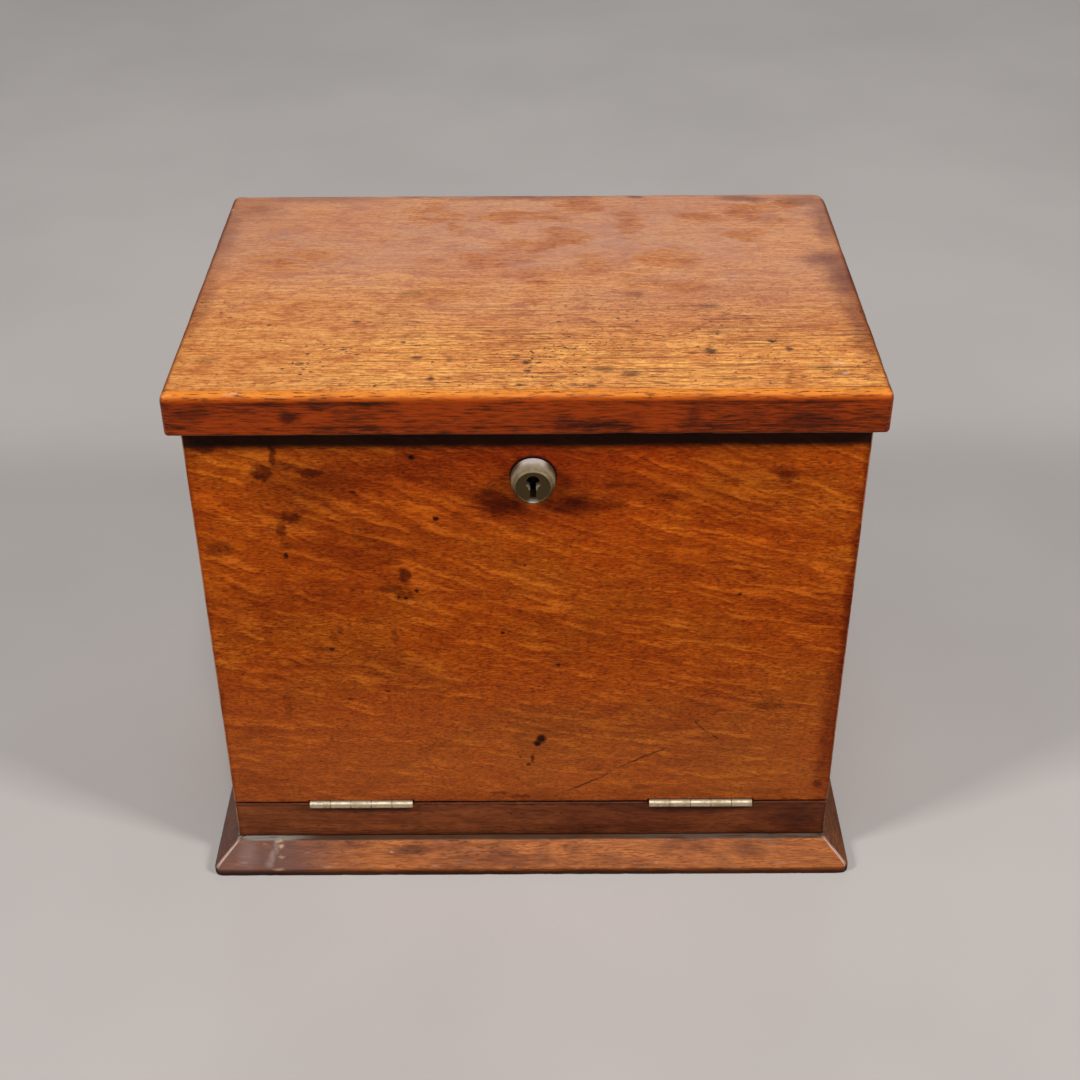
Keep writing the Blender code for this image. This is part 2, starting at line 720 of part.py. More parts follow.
def make_lock_bolt():
    """A bar with two hooked fingers, and a tail with the talon that the key turns in."""
    posts, tips = bolt_layout()
    front_y = STAPLE_Y - BOLT_THICKNESS / 2
    back_y = STAPLE_Y + BOLT_THICKNESS / 2
    bar_top = bolt_bar_top()
    bar_low = bar_top - BOLT_BAR_HEIGHT
    finger_low = BOLT_LEVEL - BOLT_BAR_HEIGHT / 2
    finger_top = BOLT_LEVEL + BOLT_BAR_HEIGHT / 2
    bolt = block("lock_bolt", (posts[0], front_y, bar_low),
                 (posts[1] + BOLT_POST_WIDTH, back_y, bar_top), BRASS)
    for number, (post, tip) in enumerate(zip(posts, tips)):
        join(bolt, tool_block(f"bolt_post_{number}", (post, front_y, bar_low),
                              (post + BOLT_POST_WIDTH, back_y, finger_top)))
        join(bolt, tool_block(f"bolt_finger_{number}", (post, front_y, finger_low),
                              (tip, back_y, finger_top)))
    tail_low = bar_low - BOLT_TAIL_HEIGHT
    join(bolt, tool_block("bolt_tail", (LOCK_X - BOLT_TAIL_WIDTH / 2, front_y, tail_low),
                          (LOCK_X + BOLT_TAIL_WIDTH / 2, back_y, bar_top)))
    cut(bolt, tool_rod("talon", "Y", TALON_RADIUS, 2 * BOLT_TAIL_WIDTH, (LOCK_X, STAPLE_Y, tail_low)))
    return bolt


def make_lock_plate():
    plate = block("lock_plate",
                  (LOCK_X - SELVEDGE_LENGTH / 2, FALL_BACK_Y - PLATE_THICKNESS, FALL_TOP - PLATE_HEIGHT),
                  (LOCK_X + SELVEDGE_LENGTH / 2, FALL_BACK_Y, FALL_TOP - SELVEDGE_THICKNESS - SEAT_GAP),
                  BRASS)
    cut(plate, *notch_tools("plate"))
    for side in (-1, 1):
        x = LOCK_X + side * (SELVEDGE_LENGTH / 2 - PLATE_SCREW_INSET)
        for z in (FALL_TOP - PLATE_SCREW_TOP, FALL_TOP - PLATE_HEIGHT + PLATE_SCREW_LOW):
            cut(plate, countersink(f"plate_screw_{side}_{z:.4f}", (x, FALL_BACK_Y, z), (0, 1, 0)))
    return plate


def nozzle_profile():
    shoulder = quarter(NOZZLE_FACE_RADIUS, NOZZLE_RADIUS, NOZZLE_COLLAR, NOZZLE_HEIGHT)
    shank_end = LOCK_DEPTH + SEAT_GAP - FRONT_THICKNESS
    return [(0, NOZZLE_HEIGHT - NOZZLE_DISH),
            (NOZZLE_FACE_RADIUS - NOZZLE_DISH, NOZZLE_HEIGHT - NOZZLE_DISH), *shoulder,
            (NOZZLE_RADIUS, SEAT_GAP), (SHANK_RADIUS, SEAT_GAP),
            (SHANK_RADIUS, shank_end), (0, shank_end)]


def make_lock_nozzle():
    nozzle = turned_piece("lock_nozzle", nozzle_profile(), BRASS, (LOCK_X, FRONT_Y, NOZZLE_Z))
    nozzle.rotation_euler = (pi / 2, 0, 0)
    cut(nozzle, *keyhole_tools("nozzle_keyhole", FRONT_Y - NOZZLE_HEIGHT - CUT_MARGIN,
                               FRONT_Y + FRONT_THICKNESS))
    return nozzle


# Lid

def make_lid_board():
    half = BODY_HALF + LID_SIDE_OVERHANG
    board = block("lid_board", (-half, FRONT_Y - LID_FRONT_OVERHANG, LID_BOTTOM),
                  (half, BACK_Y, LID_TOP), OAK_LID)
    weight_lid_edges(board.data)
    arris = round_edges(board, LID_ARRIS, LID_ARRIS_FACETS)
    arris.limit_method = "WEIGHT"
    cut_hinge_seats(board, LID_AXIS, -1, LID_HINGE_INSET, 1)
    low, high = link_box(SEAT_GAP)
    cut(board, tool_block("link_recess", low - Vector((0, 0, CUT_MARGIN)), high))
    return board


def weight_lid_edges(mesh):
    """The top arris is full and round, the corners less so, the under edge only eased."""
    weights = mesh.attributes.new("bevel_weight_edge", "FLOAT", "EDGE")
    for edge in mesh.edges:
        heights = [mesh.vertices[number].co.z for number in edge.vertices]
        if min(heights) > 0:
            weights.data[edge.index].value = 1.0
        elif max(heights) > 0:
            weights.data[edge.index].value = LID_CORNER_SHARE
        else:
            weights.data[edge.index].value = LID_UNDER_SHARE


def link_box(gap):
    """Corners of the link plate, grown by a gap on its hidden sides."""
    low = Vector((LOCK_X - LINK_LENGTH / 2 - gap, STAPLE_Y - LINK_WIDTH / 2 - gap, LID_BOTTOM))
    high = Vector((LOCK_X + LINK_LENGTH / 2 + gap, STAPLE_Y + LINK_WIDTH / 2 + gap,
                   LID_BOTTOM + LINK_THICKNESS + gap))
    return low, high


def make_link_plate():
    """A plate let into the lid, with two staples whose eyes the bolt's fingers pass through."""
    low, high = link_box(0)
    plate = block("link_plate", low, high, BRASS)
    eye_half_y = BOLT_THICKNESS / 2 + SEAT_GAP
    eye_half_z = BOLT_BAR_HEIGHT / 2 + SEAT_GAP
    for number, x in enumerate(staple_centres()):
        staple = tool_block(f"staple_{number}",
                            (x - STAPLE_WIDTH / 2, STAPLE_Y - STAPLE_DEPTH / 2, FALL_TOP - STAPLE_DROP),
                            (x + STAPLE_WIDTH / 2, STAPLE_Y + STAPLE_DEPTH / 2,
                             LID_BOTTOM + LINK_THICKNESS / 2))
        join(plate, staple)
        cut(plate, tool_block(f"staple_eye_{number}",
                              (x - STAPLE_WIDTH, STAPLE_Y - eye_half_y, BOLT_LEVEL - eye_half_z),
                              (x + STAPLE_WIDTH, STAPLE_Y + eye_half_y, BOLT_LEVEL + eye_half_z)))
    for side in (-1, 1):
        x = LOCK_X + side * (LINK_LENGTH / 2 - LINK_SCREW_INSET)
        cut(plate, countersink(f"link_screw_{side}", (x, STAPLE_Y, LID_BOTTOM), (0, 0, -1)))
    return plate


# Letter rack

def rack_outline(height):
    """A board with square shoulders at its ends and a shallow dip along its top."""
    half = INNER_HALF + RACK_HOUSING - SEAT_GAP
    dip_half = half - RACK_SHOULDER
    steps = [number / ARC_STEPS for number in range(ARC_STEPS + 1)]
    dip = [(dip_half * (1 - 2 * share), height - RACK_DIP * (1 - cos(2 * pi * share)) / 2)
           for share in steps]
    return [(-half, 0), (half, 0), (half, height), *dip, (-half, height)]


def make_rack_boards():
    for name, front_y, height in rack_boards():
        place = frame_at((1, 0, 0), (0, 0, 1), (0, front_y + RACK_THICKNESS / 2, FLOOR))
        mesh = outline_mesh(name, rack_outline(height), RACK_THICKNESS, place)
        add_piece(name, mesh, OAK_INSIDE)


def make_rack_cross(name, number):
    """A short partition whose top sweeps down from the middle board to the front one."""
    centre = INNER_HALF * (2 * number / FRONT_BAYS - 1)
    length = RACK_FRONT_BAY - 2 * SEAT_GAP
    drop = CROSS_BACK_HEIGHT - CROSS_FRONT_HEIGHT
    turns = [pi / 2 * number / ARC_STEPS for number in range(ARC_STEPS + 1)]
    sweep = [(length * (1 - sin(turn)), CROSS_BACK_HEIGHT - drop * (1 - cos(turn))) for turn in turns]
    points = [(0, 0), (length, 0), *sweep]
    origin = (centre, RACK_FRONT_Y + RACK_THICKNESS + SEAT_GAP, FLOOR)
    mesh = outline_mesh(name, points, CROSS_THICKNESS, frame_at((0, 1, 0), (0, 0, 1), origin))
    add_piece(name, mesh, OAK_INSIDE)


# Pen tray and inkwells

def well_centre(side):
    reach = INNER_HALF - SEAT_GAP - TRAY_WALL - WELL_CLEARANCE - BOTTLE_SIDE / 2
    return Vector((side * reach, TRAY_FRONT_Y + TRAY_DEPTH / 2, FLOOR + WELL_FLOOR))


def make_pen_tray():
    half = INNER_HALF - SEAT_GAP
    top = FLOOR + TRAY_HEIGHT
    tray = block("pen_tray", (-half, TRAY_FRONT_Y, FLOOR), (half, TRAY_FRONT_Y + TRAY_DEPTH, top),
                 OAK_INSIDE)
    well_half = BOTTLE_SIDE / 2 + WELL_CLEARANCE
    for side in (-1, 1):
        centre = well_centre(side)
        cut(tray, tool_block(f"ink_well_{side}", centre - Vector((well_half, well_half, 0)),
                             centre + Vector((well_half, well_half, TRAY_HEIGHT))))
    trough_half = well_centre(1).x - well_half - TRAY_WALL
    trough_z = top - TROUGH_DEPTH + TROUGH_RADIUS
    cut(tray, tool_rod("pen_trough", "X", TROUGH_RADIUS, 2 * trough_half,
                       (0, TRAY_FRONT_Y + TRAY_DEPTH / 2, trough_z)))
    cut(tray, tool_block("pen_trough_mouth",
                         (-trough_half, TRAY_FRONT_Y + TRAY_DEPTH / 2 - TROUGH_RADIUS, trough_z),
                         (trough_half, TRAY_FRONT_Y + TRAY_DEPTH / 2 + TROUGH_RADIUS,
                          top + CUT_MARGIN)))


def make_inkwell(name, side):
    """A square moulded bottle, hollow, with a round neck."""
    foot = well_centre(side) + Vector((0, 0, SEAT_GAP))
    half = BOTTLE_SIDE / 2
    bottle = block(name, foot - Vector((half, half, 0)), foot + Vector((half, half, BOTTLE_HEIGHT)),
                   GLASS)
    bottle.data.transform(Matrix.Translation((0, 0, BOTTLE_HEIGHT / 2)))
    bottle.location = foot
    weight_bottle_edges(bottle.data)
    corners = round_edges(bottle, BOTTLE_CORNER, BOTTLE_CORNER_FACETS)
    corners.limit_method = "WEIGHT"
    shoulder_z = foot.z + BOTTLE_HEIGHT
    join(bottle, add_tool(name + "_neck", neck_mesh(name + "_neck", NECK_RADIUS, 2 * NECK_HEIGHT),
                          (foot.x, foot.y, shoulder_z)))
    inner = half - BOTTLE_WALL
    cut(bottle, tool_block(name + "_hollow",
                           (foot.x - inner, foot.y - inner, foot.z + BOTTLE_WALL),
                           (foot.x + inner, foot.y + inner, shoulder_z - BOTTLE_WALL)))
    cut(bottle, add_tool(name + "_bore", neck_mesh(name + "_bore", NECK_BORE, 4 * NECK_HEIGHT),
                         (foot.x, foot.y, shoulder_z + NECK_HEIGHT)))
    return bottle


def weight_bottle_edges(mesh):
    """Round upright corners, and a slighter rounding at the shoulder."""
    weights = mesh.attributes.new("bevel_weight_edge", "FLOAT", "EDGE")
    for edge in mesh.edges:
        heights = [mesh.vertices[number].co.z for number in edge.vertices]
        if max(heights) - min(heights) > BOTTLE_HEIGHT / 2:
            weights.data[edge.index].value = 1.0
        elif min(heights) > BOTTLE_HEIGHT / 2:
            weights.data[edge.index].value = BOTTLE_SHOULDER / BOTTLE_CORNER


def neck_mesh(name, radius, length):
    shape = bmesh.new()
    bmesh.ops.create_cone(shape, cap_ends=True, segments=TURNED_STEPS, radius1=radius,
                          radius2=radius, depth=length)
    return mesh_from(shape, name)


def cap_profile():
    inner = NECK_RADIUS + SEAT_GAP
    outer = inner + CAP_WALL
    ceiling = NECK_HEIGHT + SEAT_GAP
    crown = quarter(0, outer, ceiling + CAP_WALL / 2, ceiling + CAP_WALL / 2 + CAP_CROWN)
    return [*crown, (outer, SEAT_GAP), (inner, SEAT_GAP), (inner, ceiling), (0, ceiling)]


def make_inkwell_cap(name, side):
    shoulder = well_centre(side) + Vector((0, 0, SEAT_GAP + BOTTLE_HEIGHT))
    return turned_piece(name, cap_profile(), BRASS, shoulder)


# The whole box

def make_case():
    make_plinth_front()
    make_plinth_side("plinth_left", -1)
    make_plinth_side("plinth_right", 1)
    make_plinth_back()
    make_side("side_left", -1)
    make_side("side_right", 1)
    make_back_panel()
    make_base_board()
    make_front_rail()
    make_rack_boards()
    for number, hand in enumerate(("left", "right"), start=1):
        make_rack_cross("rack_cross_" + hand, number)
    make_pen_tray()


def make_fall():
    fall_pivot = pivot("fall_pivot", FALL_AXIS)
    carry(fall_pivot, make_fall_front(), make_writing_leather(), make_lock_case(),
          make_lock_plate(), make_lock_nozzle(), make_lock_bolt())
    make_hinges("fall", "rail", "fall", FALL_AXIS, 1, FALL_HINGE_INSET, fall_pivot)


def make_lid():
    lid_pivot = pivot("lid_pivot", LID_AXIS)
    carry(lid_pivot, make_lid_board(), make_link_plate())
    make_hinges("lid", "case", "lid", LID_AXIS, -1, LID_HINGE_INSET, lid_pivot)


def make_inkwells():
    for hand, side in (("left", -1), ("right", 1)):
        bottle = make_inkwell("inkwell_" + hand, side)
        carry(bottle, make_inkwell_cap("inkwell_cap_" + hand, side))


make_case()
make_fall()
make_lid()
make_inkwells()
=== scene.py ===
# %% [markdown]
# # Dressing an oak writing box
# The box is a small stationery cabinet in quartered oak, a century or so old: an overhanging
# lid, a fall front that drops to write on, a brass nozzle lock and a chamfered plinth. The
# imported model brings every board, hinge and bottle in metres, so this lesson never fits by
# eye. It copies the boards, softens their arrises, and then spends most of its effort on
# finishes. The first thing kept is the model's own box, because a finish may not make the
# object bigger.

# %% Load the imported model
import json
import math

import bmesh
import bpy
from mathutils import Matrix, Vector, noise


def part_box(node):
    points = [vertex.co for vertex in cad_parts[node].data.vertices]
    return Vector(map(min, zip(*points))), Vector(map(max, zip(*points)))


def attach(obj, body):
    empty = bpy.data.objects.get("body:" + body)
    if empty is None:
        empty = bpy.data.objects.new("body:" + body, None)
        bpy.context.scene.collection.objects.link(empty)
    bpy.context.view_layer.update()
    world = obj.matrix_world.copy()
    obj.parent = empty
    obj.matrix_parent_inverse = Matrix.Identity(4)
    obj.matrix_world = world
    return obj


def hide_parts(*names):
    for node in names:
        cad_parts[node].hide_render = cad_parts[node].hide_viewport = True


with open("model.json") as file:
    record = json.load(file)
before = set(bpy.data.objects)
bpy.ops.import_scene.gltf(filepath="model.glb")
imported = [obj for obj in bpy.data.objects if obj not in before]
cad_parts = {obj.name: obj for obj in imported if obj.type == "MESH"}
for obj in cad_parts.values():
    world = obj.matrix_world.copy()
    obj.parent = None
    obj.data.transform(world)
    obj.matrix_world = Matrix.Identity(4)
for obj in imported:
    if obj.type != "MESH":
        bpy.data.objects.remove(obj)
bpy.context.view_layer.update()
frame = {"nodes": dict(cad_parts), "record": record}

MM = 0.001
scene = bpy.context.scene
scene.view_settings.view_transform = "Standard"

# %% [markdown]
# ## Camera
# The picture was taken with a short telephoto, from above and almost square on. The place,
# pitch and focal length come from matching the corners of the lid, the fall and the plinth.
# A camera looks along its own -Z, which is straight down until it is turned, so it is tipped up
# by ninety degrees less its pitch.

# %% Camera
CAMERA_PLACE = Vector((0.00626, -0.6977, 0.6051))
CAMERA_PITCH = math.radians(34.39)
CAMERA_YAW = math.radians(0.10)
CAMERA_ROLL = math.radians(0.32)
FOCAL_LENGTH = 55.39

lens = bpy.data.cameras.new("camera")
lens.sensor_width = 36.0
lens.lens = FOCAL_LENGTH
camera = bpy.data.objects.new("camera", lens)
turn = Matrix.Rotation(CAMERA_YAW, 4, "Z")
turn = turn @ Matrix.Rotation(math.pi / 2 - CAMERA_PITCH, 4, "X")
turn = turn @ Matrix.Rotation(-CAMERA_ROLL, 4, "Z")
camera.matrix_world = Matrix.Translation(CAMERA_PLACE) @ turn
scene.collection.objects.link(camera)
scene.camera = camera
print("camera", round(math.degrees(CAMERA_PITCH), 2), "degrees down")

# %% [markdown]
# ## A short hand for shader nodes
# A good oak needs several dozen nodes, and adding each by hand hides the idea. This small
# class adds a node, sets it and links it in one call, and hands back the socket to use next.
# Lengths in the finishes are millimetres, because grain is easier to think of that way.

# %% Shader helper
class Wiring:
    """Adds nodes to one material and links them; most calls hand back an output."""

    def __init__(self, name):
        self.material = bpy.data.materials.new(name)
        self.material.use_nodes = True
        self.tree = self.material.node_tree
        self.tree.nodes.clear()

    def feed(self, socket, value):
        if isinstance(value, bpy.types.NodeSocket):
            self.tree.links.new(value, socket)
        elif socket.type == "RGBA" and len(value) == 3:
            socket.default_value = (*value, 1.0)
        else:
            socket.default_value = value

    def node(self, kind, inputs=(), **settings):
        made = self.tree.nodes.new("ShaderNode" + kind)
        for name, value in settings.items():
            setattr(made, name, value)
        pairs = inputs.items() if isinstance(inputs, dict) else enumerate(inputs)
        for key, value in pairs:
            self.feed(made.inputs[key], value)
        return made

    def math(self, operation, *values):
        return self.node("Math", values, operation=operation).outputs[0]

    def times(self, *values):
        product = values[0]
        for value in values[1:]:
            product = self.math("MULTIPLY", product, value)
        return product

    def vector(self, operation, *values):
        made = self.node("VectorMath", values, operation=operation)
        return made.outputs["Value" if operation == "LENGTH" else "Vector"]

    def millimetres(self, middle=(0.0, 0.0, 0.0)):
        """The piece's own coordinates in millimetres, counted from a middle."""
        inputs = {"Vector": self.node("TexCoord").outputs["Object"],
                  "Location": [-value for value in middle], "Scale": (1 / MM,) * 3}
        return self.node("Mapping", inputs).outputs[0]

    def split(self, vector):
        return self.node("SeparateXYZ", [vector]).outputs

    def join(self, x, y, z):
        return self.node("CombineXYZ", [x, y, z]).outputs[0]

    def noise(self, where, per_mm, detail=2.0, roughness=0.5):
        """Soft noise with per_mm lumps to the millimetre along each axis."""
        scaled = self.vector("MULTIPLY", where, per_mm)
        inputs = {"Vector": scaled, "Scale": 1.0, "Detail": detail, "Roughness": roughness}
        return self.node("TexNoise", inputs).outputs[0]

    def fade(self, value, start, end, low=0.0, high=1.0):
        """A soft step from low at start to high at end."""
        inputs = [value, start, end, low, high]
        return self.node("MapRange", inputs, interpolation_type="SMOOTHSTEP").outputs[0]

    def blend(self, share, first, second, mode="MIX"):
        inputs = {0: share, 6: first, 7: second}
        return self.node("Mix", inputs, data_type="RGBA", blend_type=mode).outputs[2]

    def finish(self, colour, roughness, height, bump=0.3, deep=0.1, **constants):
        """Ends the tree in one Principled shader, with its relief in deep millimetres."""
        relief = self.node("Bump", {"Strength": bump, "Distance": deep * MM, "Height": height})
        skin = self.node("BsdfPrincipled", {"Base Color": colour, "Roughness": roughness,
                                            "Normal": relief.outputs[0]})
        for name, value in constants.items():
            self.feed(skin.inputs[name.replace("_", " ")], value)
        self.node("OutputMaterial", {"Surface": skin.outputs[0]})
        return self.material


print("shader helper ready")

# %% [markdown]
# ## Floor and light
# The box stands on grey paper between two small softboxes, one on each side and a little
# forward, with a third high in front: their edges make the dark band under the lid and the
# two shadows of the lock. One overhead lights the top of the lock, and a faint lamp behind
# gives the lid its sheen. Lamp power is easier to judge as a share of the light that falls on
# the floor, so the helper turns a share into watts: the shares, with the sky's, add up to a
# little over one, and then a colour renders about as it is written. The paper looks pale to the
# camera and in reflections, but throws little light back, so that shadows stay deep.

# %% Floor and lamps
FLOOR_HALF = 9.0
PAPER = (0.465, 0.434, 0.412)
DIM_PAPER = (0.13, 0.12, 0.115)
SKY_TINT = (0.98, 0.97, 1.0, 1.0)
SKY_SHARE = 0.07
LAMP_AIM = Vector((0, 0, 0.12))
LAMP_DISTANCE = 3.4
# Each lamp's azimuth and elevation in degrees, its size in metres and its share of the light
LAMPS = {
    "lamp_right": (63, 36, 0.60, 0.31),
    "lamp_left": (-61, 36, 0.60, 0.30),
    "lamp_high": (5, 57, 0.50, 0.27),
    "lamp_over": (-4, 80, 0.90, 0.12),
    "lamp_behind": (178, 31, 1.60, 0.05),
}


def paper_finish():
    w = Wiring("grey_paper")
    place = w.millimetres()
    mottle = w.noise(place, (0.004, 0.004, 0.004), 3.0)
    fibre = w.noise(place, (0.9, 0.9, 0.9), 2.0)
    tone = w.blend(w.fade(mottle, 0.3, 0.7), [c * 0.96 for c in PAPER], [c * 1.04 for c in PAPER])
    rays = w.node("LightPath").outputs
    seen = w.math("MAXIMUM", rays["Is Glossy Ray"], rays["Is Transmission Ray"])
    seen = w.math("MAXIMUM", rays["Is Camera Ray"], seen)
    tone = w.blend(seen, DIM_PAPER, tone)
    return w.finish(tone, w.fade(fibre, 0.3, 0.7, 0.62, 0.78), fibre, bump=0.05)


def softbox(name, azimuth, elevation, size, share):
    """A square lamp aimed at the box; azimuth is counted from the front towards +X."""
    lamp = bpy.data.lights.new(name, "AREA")
    lamp.size = size
    lamp.energy = share * math.pi ** 2 * LAMP_DISTANCE ** 2 / math.sin(elevation)
    level = LAMP_DISTANCE * math.cos(elevation)
    place = Vector((level * math.sin(azimuth), -level * math.cos(azimuth),
                    LAMP_DISTANCE * math.sin(elevation)))
    made = bpy.data.objects.new(name, lamp)
    made.location = place + LAMP_AIM
    made.rotation_euler = place.to_track_quat("Z", "Y").to_euler()
    scene.collection.objects.link(made)


shape = bmesh.new()
bmesh.ops.create_grid(shape, x_segments=1, y_segments=1, size=FLOOR_HALF)
floor_mesh = bpy.data.meshes.new("floor")
shape.to_mesh(floor_mesh)
shape.free()
floor = bpy.data.objects.new("floor", floor_mesh)
floor.data.materials.append(paper_finish())
scene.collection.objects.link(floor)
for name, (azimuth, elevation, size, share) in LAMPS.items():
    softbox(name, math.radians(azimuth), math.radians(elevation), size, share)
sky = bpy.data.worlds.new("sky")
sky.use_nodes = True
background = sky.node_tree.nodes["Background"].inputs
background["Color"].default_value = SKY_TINT
background["Strength"].default_value = SKY_SHARE
scene.world = sky
print(len(LAMPS), "lamps and a sky")

# %% [markdown]
# ## Oak, layer by layer
# Oak has a look of its own: straight growth lines, short dark pores that lie along the grain,
# and on quartered boards pale silvery ray flecks that slant across them. Over that come the
# years: wax, a darker skin where hands and dust collect, rubbed arrises, dents and ink. An
# image would fix all this to one board, so each layer is a noise in the board's own
# millimetres. A board says which axis its grain runs along, and how far its pattern is shifted
# so that no two look alike. Wear can be kept to one face: the underside of a lid isn't stained.

# %% Oak in millimetres
AXES = "XYZ"


class Oak(Wiring):
    """The finish of one oak board, laid on in layers."""

    def __init__(self, name, node, along, across, shift):
        super().__init__(name)
        low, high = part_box(node)
        self.middle = (low + high) / 2 / MM
        self.half = (high - low) / 2 / MM
        self.place = self.millimetres(self.middle)
        self.at = dict(zip(AXES, self.split(self.place)))
        self.inward = {axis: self.math("SUBTRACT", self.half[AXES.index(axis)],
                                       self.math("ABSOLUTE", self.at[axis])) for axis in AXES}
        self.edge = self.edge_distance()
        deep = next(axis for axis in AXES if axis not in (along, across))
        self.across = self.at[across]
        turned = self.join(self.at[along], self.at[across], self.at[deep])
        self.grain = self.vector("ADD", turned, shift)
        self.flecks = None
        self.only = None

    def edge_distance(self):
        """Millimetres to the nearest arris: the middle one of the three inward distances."""
        a, b, c = (self.inward[axis] for axis in AXES)
        least = self.math("MINIMUM", a, b)
        most = self.math("MAXIMUM", a, b)
        return self.math("MAXIMUM", least, self.math("MINIMUM", most, c))

    def tint(self, share, colour, mode="MULTIPLY"):
        """Lays a colour over what is there, by a share, and only on a chosen face if any."""
        if self.only:
            share = self.times(share, self.only)
        self.colour = self.blend(share, self.colour, colour, mode)

    def finish_board(self, rough, pore_rough, bump=0.45, deep=0.10, **constants):
        """Ends the tree with one roughness, raised by pore_rough in the pores."""
        rough = self.math("MULTIPLY_ADD", self.pores, pore_rough, rough)
        return self.finish(self.colour, rough, self.height, bump, deep, **constants)


print("oak works in millimetres from the middle of its board")

# %% [markdown]
# ### Growth lines and fibre
# Two noises stretched along the grain make the body of the wood: one a hand's width long and a
# couple of millimetres across for the growth lines, one much finer for the fibre. Together they
# choose a tone between a dark and a light colour.

# %% Growth lines
def lay_growth(oak, dark, light, contrast=0.55, length=22.0, narrow=0.36):
    wave = oak.noise(oak.grain, (0.011, 0.02, 0.02), 1.0)
    along, across, deep = oak.split(oak.grain)
    swayed = oak.math("ADD", across, oak.times(wave, 14.0))
    lines = oak.join(along, swayed, deep)
    oak.lines = oak.noise(lines, (0.006, narrow, 0.05), 3.0, 0.6)
    fibre = oak.noise(lines, (1 / length, 1.8, 1.8), 3.0, 0.6)
    mixed = oak.times(oak.lines, 1.0 - contrast)
    mixed = oak.math("ADD", mixed, oak.times(fibre, contrast))
    oak.colour = oak.blend(oak.fade(mixed, 0.36, 0.64), dark, light)
    oak.height = oak.times(fibre, 0.25)


# %% [markdown]
# ### Ray flecks
# Where a quartered board cuts along the rays they show as wavy satin ribbons that slant
# across the grain, each with a thin dark line along its lower side. A slanted, stretched noise
# gives the ribbons, a finer one frays them, and a broad one leaves some areas plain. The slope
# changes from the foot of a board to its top, as it does on a real plank. Asking for the same
# noise a little higher up shows where a ribbon lies just above, and that is the dark line.

# %% Ray flecks
FLECK_LINE = 1.1


def lay_flecks(oak, pale, share, slopes, start=0.52, shade=0.0, ribbon=(0.048, 0.25),
               frayed=0.55):
    """Slanted ribbons, by their lumps to the millimetre along and across the grain."""
    along, across, deep = oak.split(oak.grain)
    reach = max(oak.half) * 0.7
    slope = oak.fade(oak.across, -reach, reach, *slopes)
    sway = oak.noise(oak.grain, (0.035, 0.06, 0.03), 2.0)
    fray = oak.noise(oak.grain, (0.20, 1.1, 0.3), 2.0, 0.6)
    crowd = oak.noise(oak.grain, (0.016, 0.026, 0.02), 2.0)
    fray = oak.times(oak.math("SUBTRACT", fray, 0.5), frayed)
    spread = oak.math("MULTIPLY_ADD", crowd, 0.35, fray)

    def ribbons(lift):
        slanted = oak.math("MULTIPLY_ADD", along, slope, oak.math("ADD", across, lift))
        slanted = oak.math("MULTIPLY_ADD", sway, 9.0, slanted)
        broad = oak.noise(oak.join(along, slanted, deep), (*ribbon, 0.03), 2.0, 0.5)
        return oak.fade(oak.math("ADD", broad, spread), start + 0.165, start + 0.405)

    oak.flecks = ribbons(0.0)
    oak.tint(oak.times(oak.flecks, share), pale, "MIX")
    if shade:
        line = oak.math("SUBTRACT", ribbons(FLECK_LINE), oak.flecks)
        line = oak.times(oak.math("MAXIMUM", line, 0.0), shade)
        oak.tint(line, (0.42, 0.26, 0.26))


# %% [markdown]
# ### Pores
# The open pores of oak hold old wax and dirt, so they read as short dark dashes, thickest in
# the early wood of each year. A stretched noise cut off high leaves just such dashes. They
# also sink a little, which the relief picks up.

# %% Pores
def lay_pores(oak, dark, share, cut=0.57, length=5.0, width=0.5, soft=0.09):
    per_mm = (1 / length, 1 / width, 1 / width)
    dashes = oak.fade(oak.noise(oak.grain, per_mm, 1.0, 0.4), cut, cut + soft)
    early = oak.fade(oak.lines, 0.42, 0.60, 0.25, 1.0)
    oak.pores = oak.times(dashes, early)
    if oak.flecks:
        kept = oak.math("MULTIPLY_ADD", oak.flecks, -0.55, 1.0)
        oak.pores = oak.times(oak.pores, kept)
    oak.tint(oak.times(oak.pores, share), dark, "MIX")
    oak.height = oak.math("SUBTRACT", oak.height, oak.times(oak.pores, 0.7))


# %% [markdown]
# ### Patina and rubbed arrises
# Patina is darkness that gathers in soft patches and along the edges; rubbing takes it off
# again on the arrises themselves. The distance to the nearest arris drives both, with noise so
# that neither follows the edge like a ruled line.

# %% Patina and arrises
def lay_patina(oak, tint, share, per_mm=(0.016, 0.03, 0.03), start=0.47, end=0.63):
    patches = oak.fade(oak.noise(oak.grain, per_mm, 4.0, 0.6), start, end)
    oak.tint(oak.times(patches, share), tint)


def lay_edges(oak, tint, share, rubbed, rubbed_share, reach, arris):
    uneven = oak.noise(oak.place, (0.12, 0.12, 0.12), 3.0, 0.6)
    ragged = oak.math("MULTIPLY_ADD", oak.math("SUBTRACT", uneven, 0.5), reach, oak.edge)
    grime = oak.fade(ragged, reach, 0.0)
    oak.tint(oak.times(grime, share), tint)
    worn = oak.math("MULTIPLY_ADD", oak.math("SUBTRACT", uneven, 0.5), arris * 2.0, oak.edge)
    oak.tint(oak.times(oak.fade(worn, arris, arris * 0.35), rubbed_share), rubbed, "MIX")
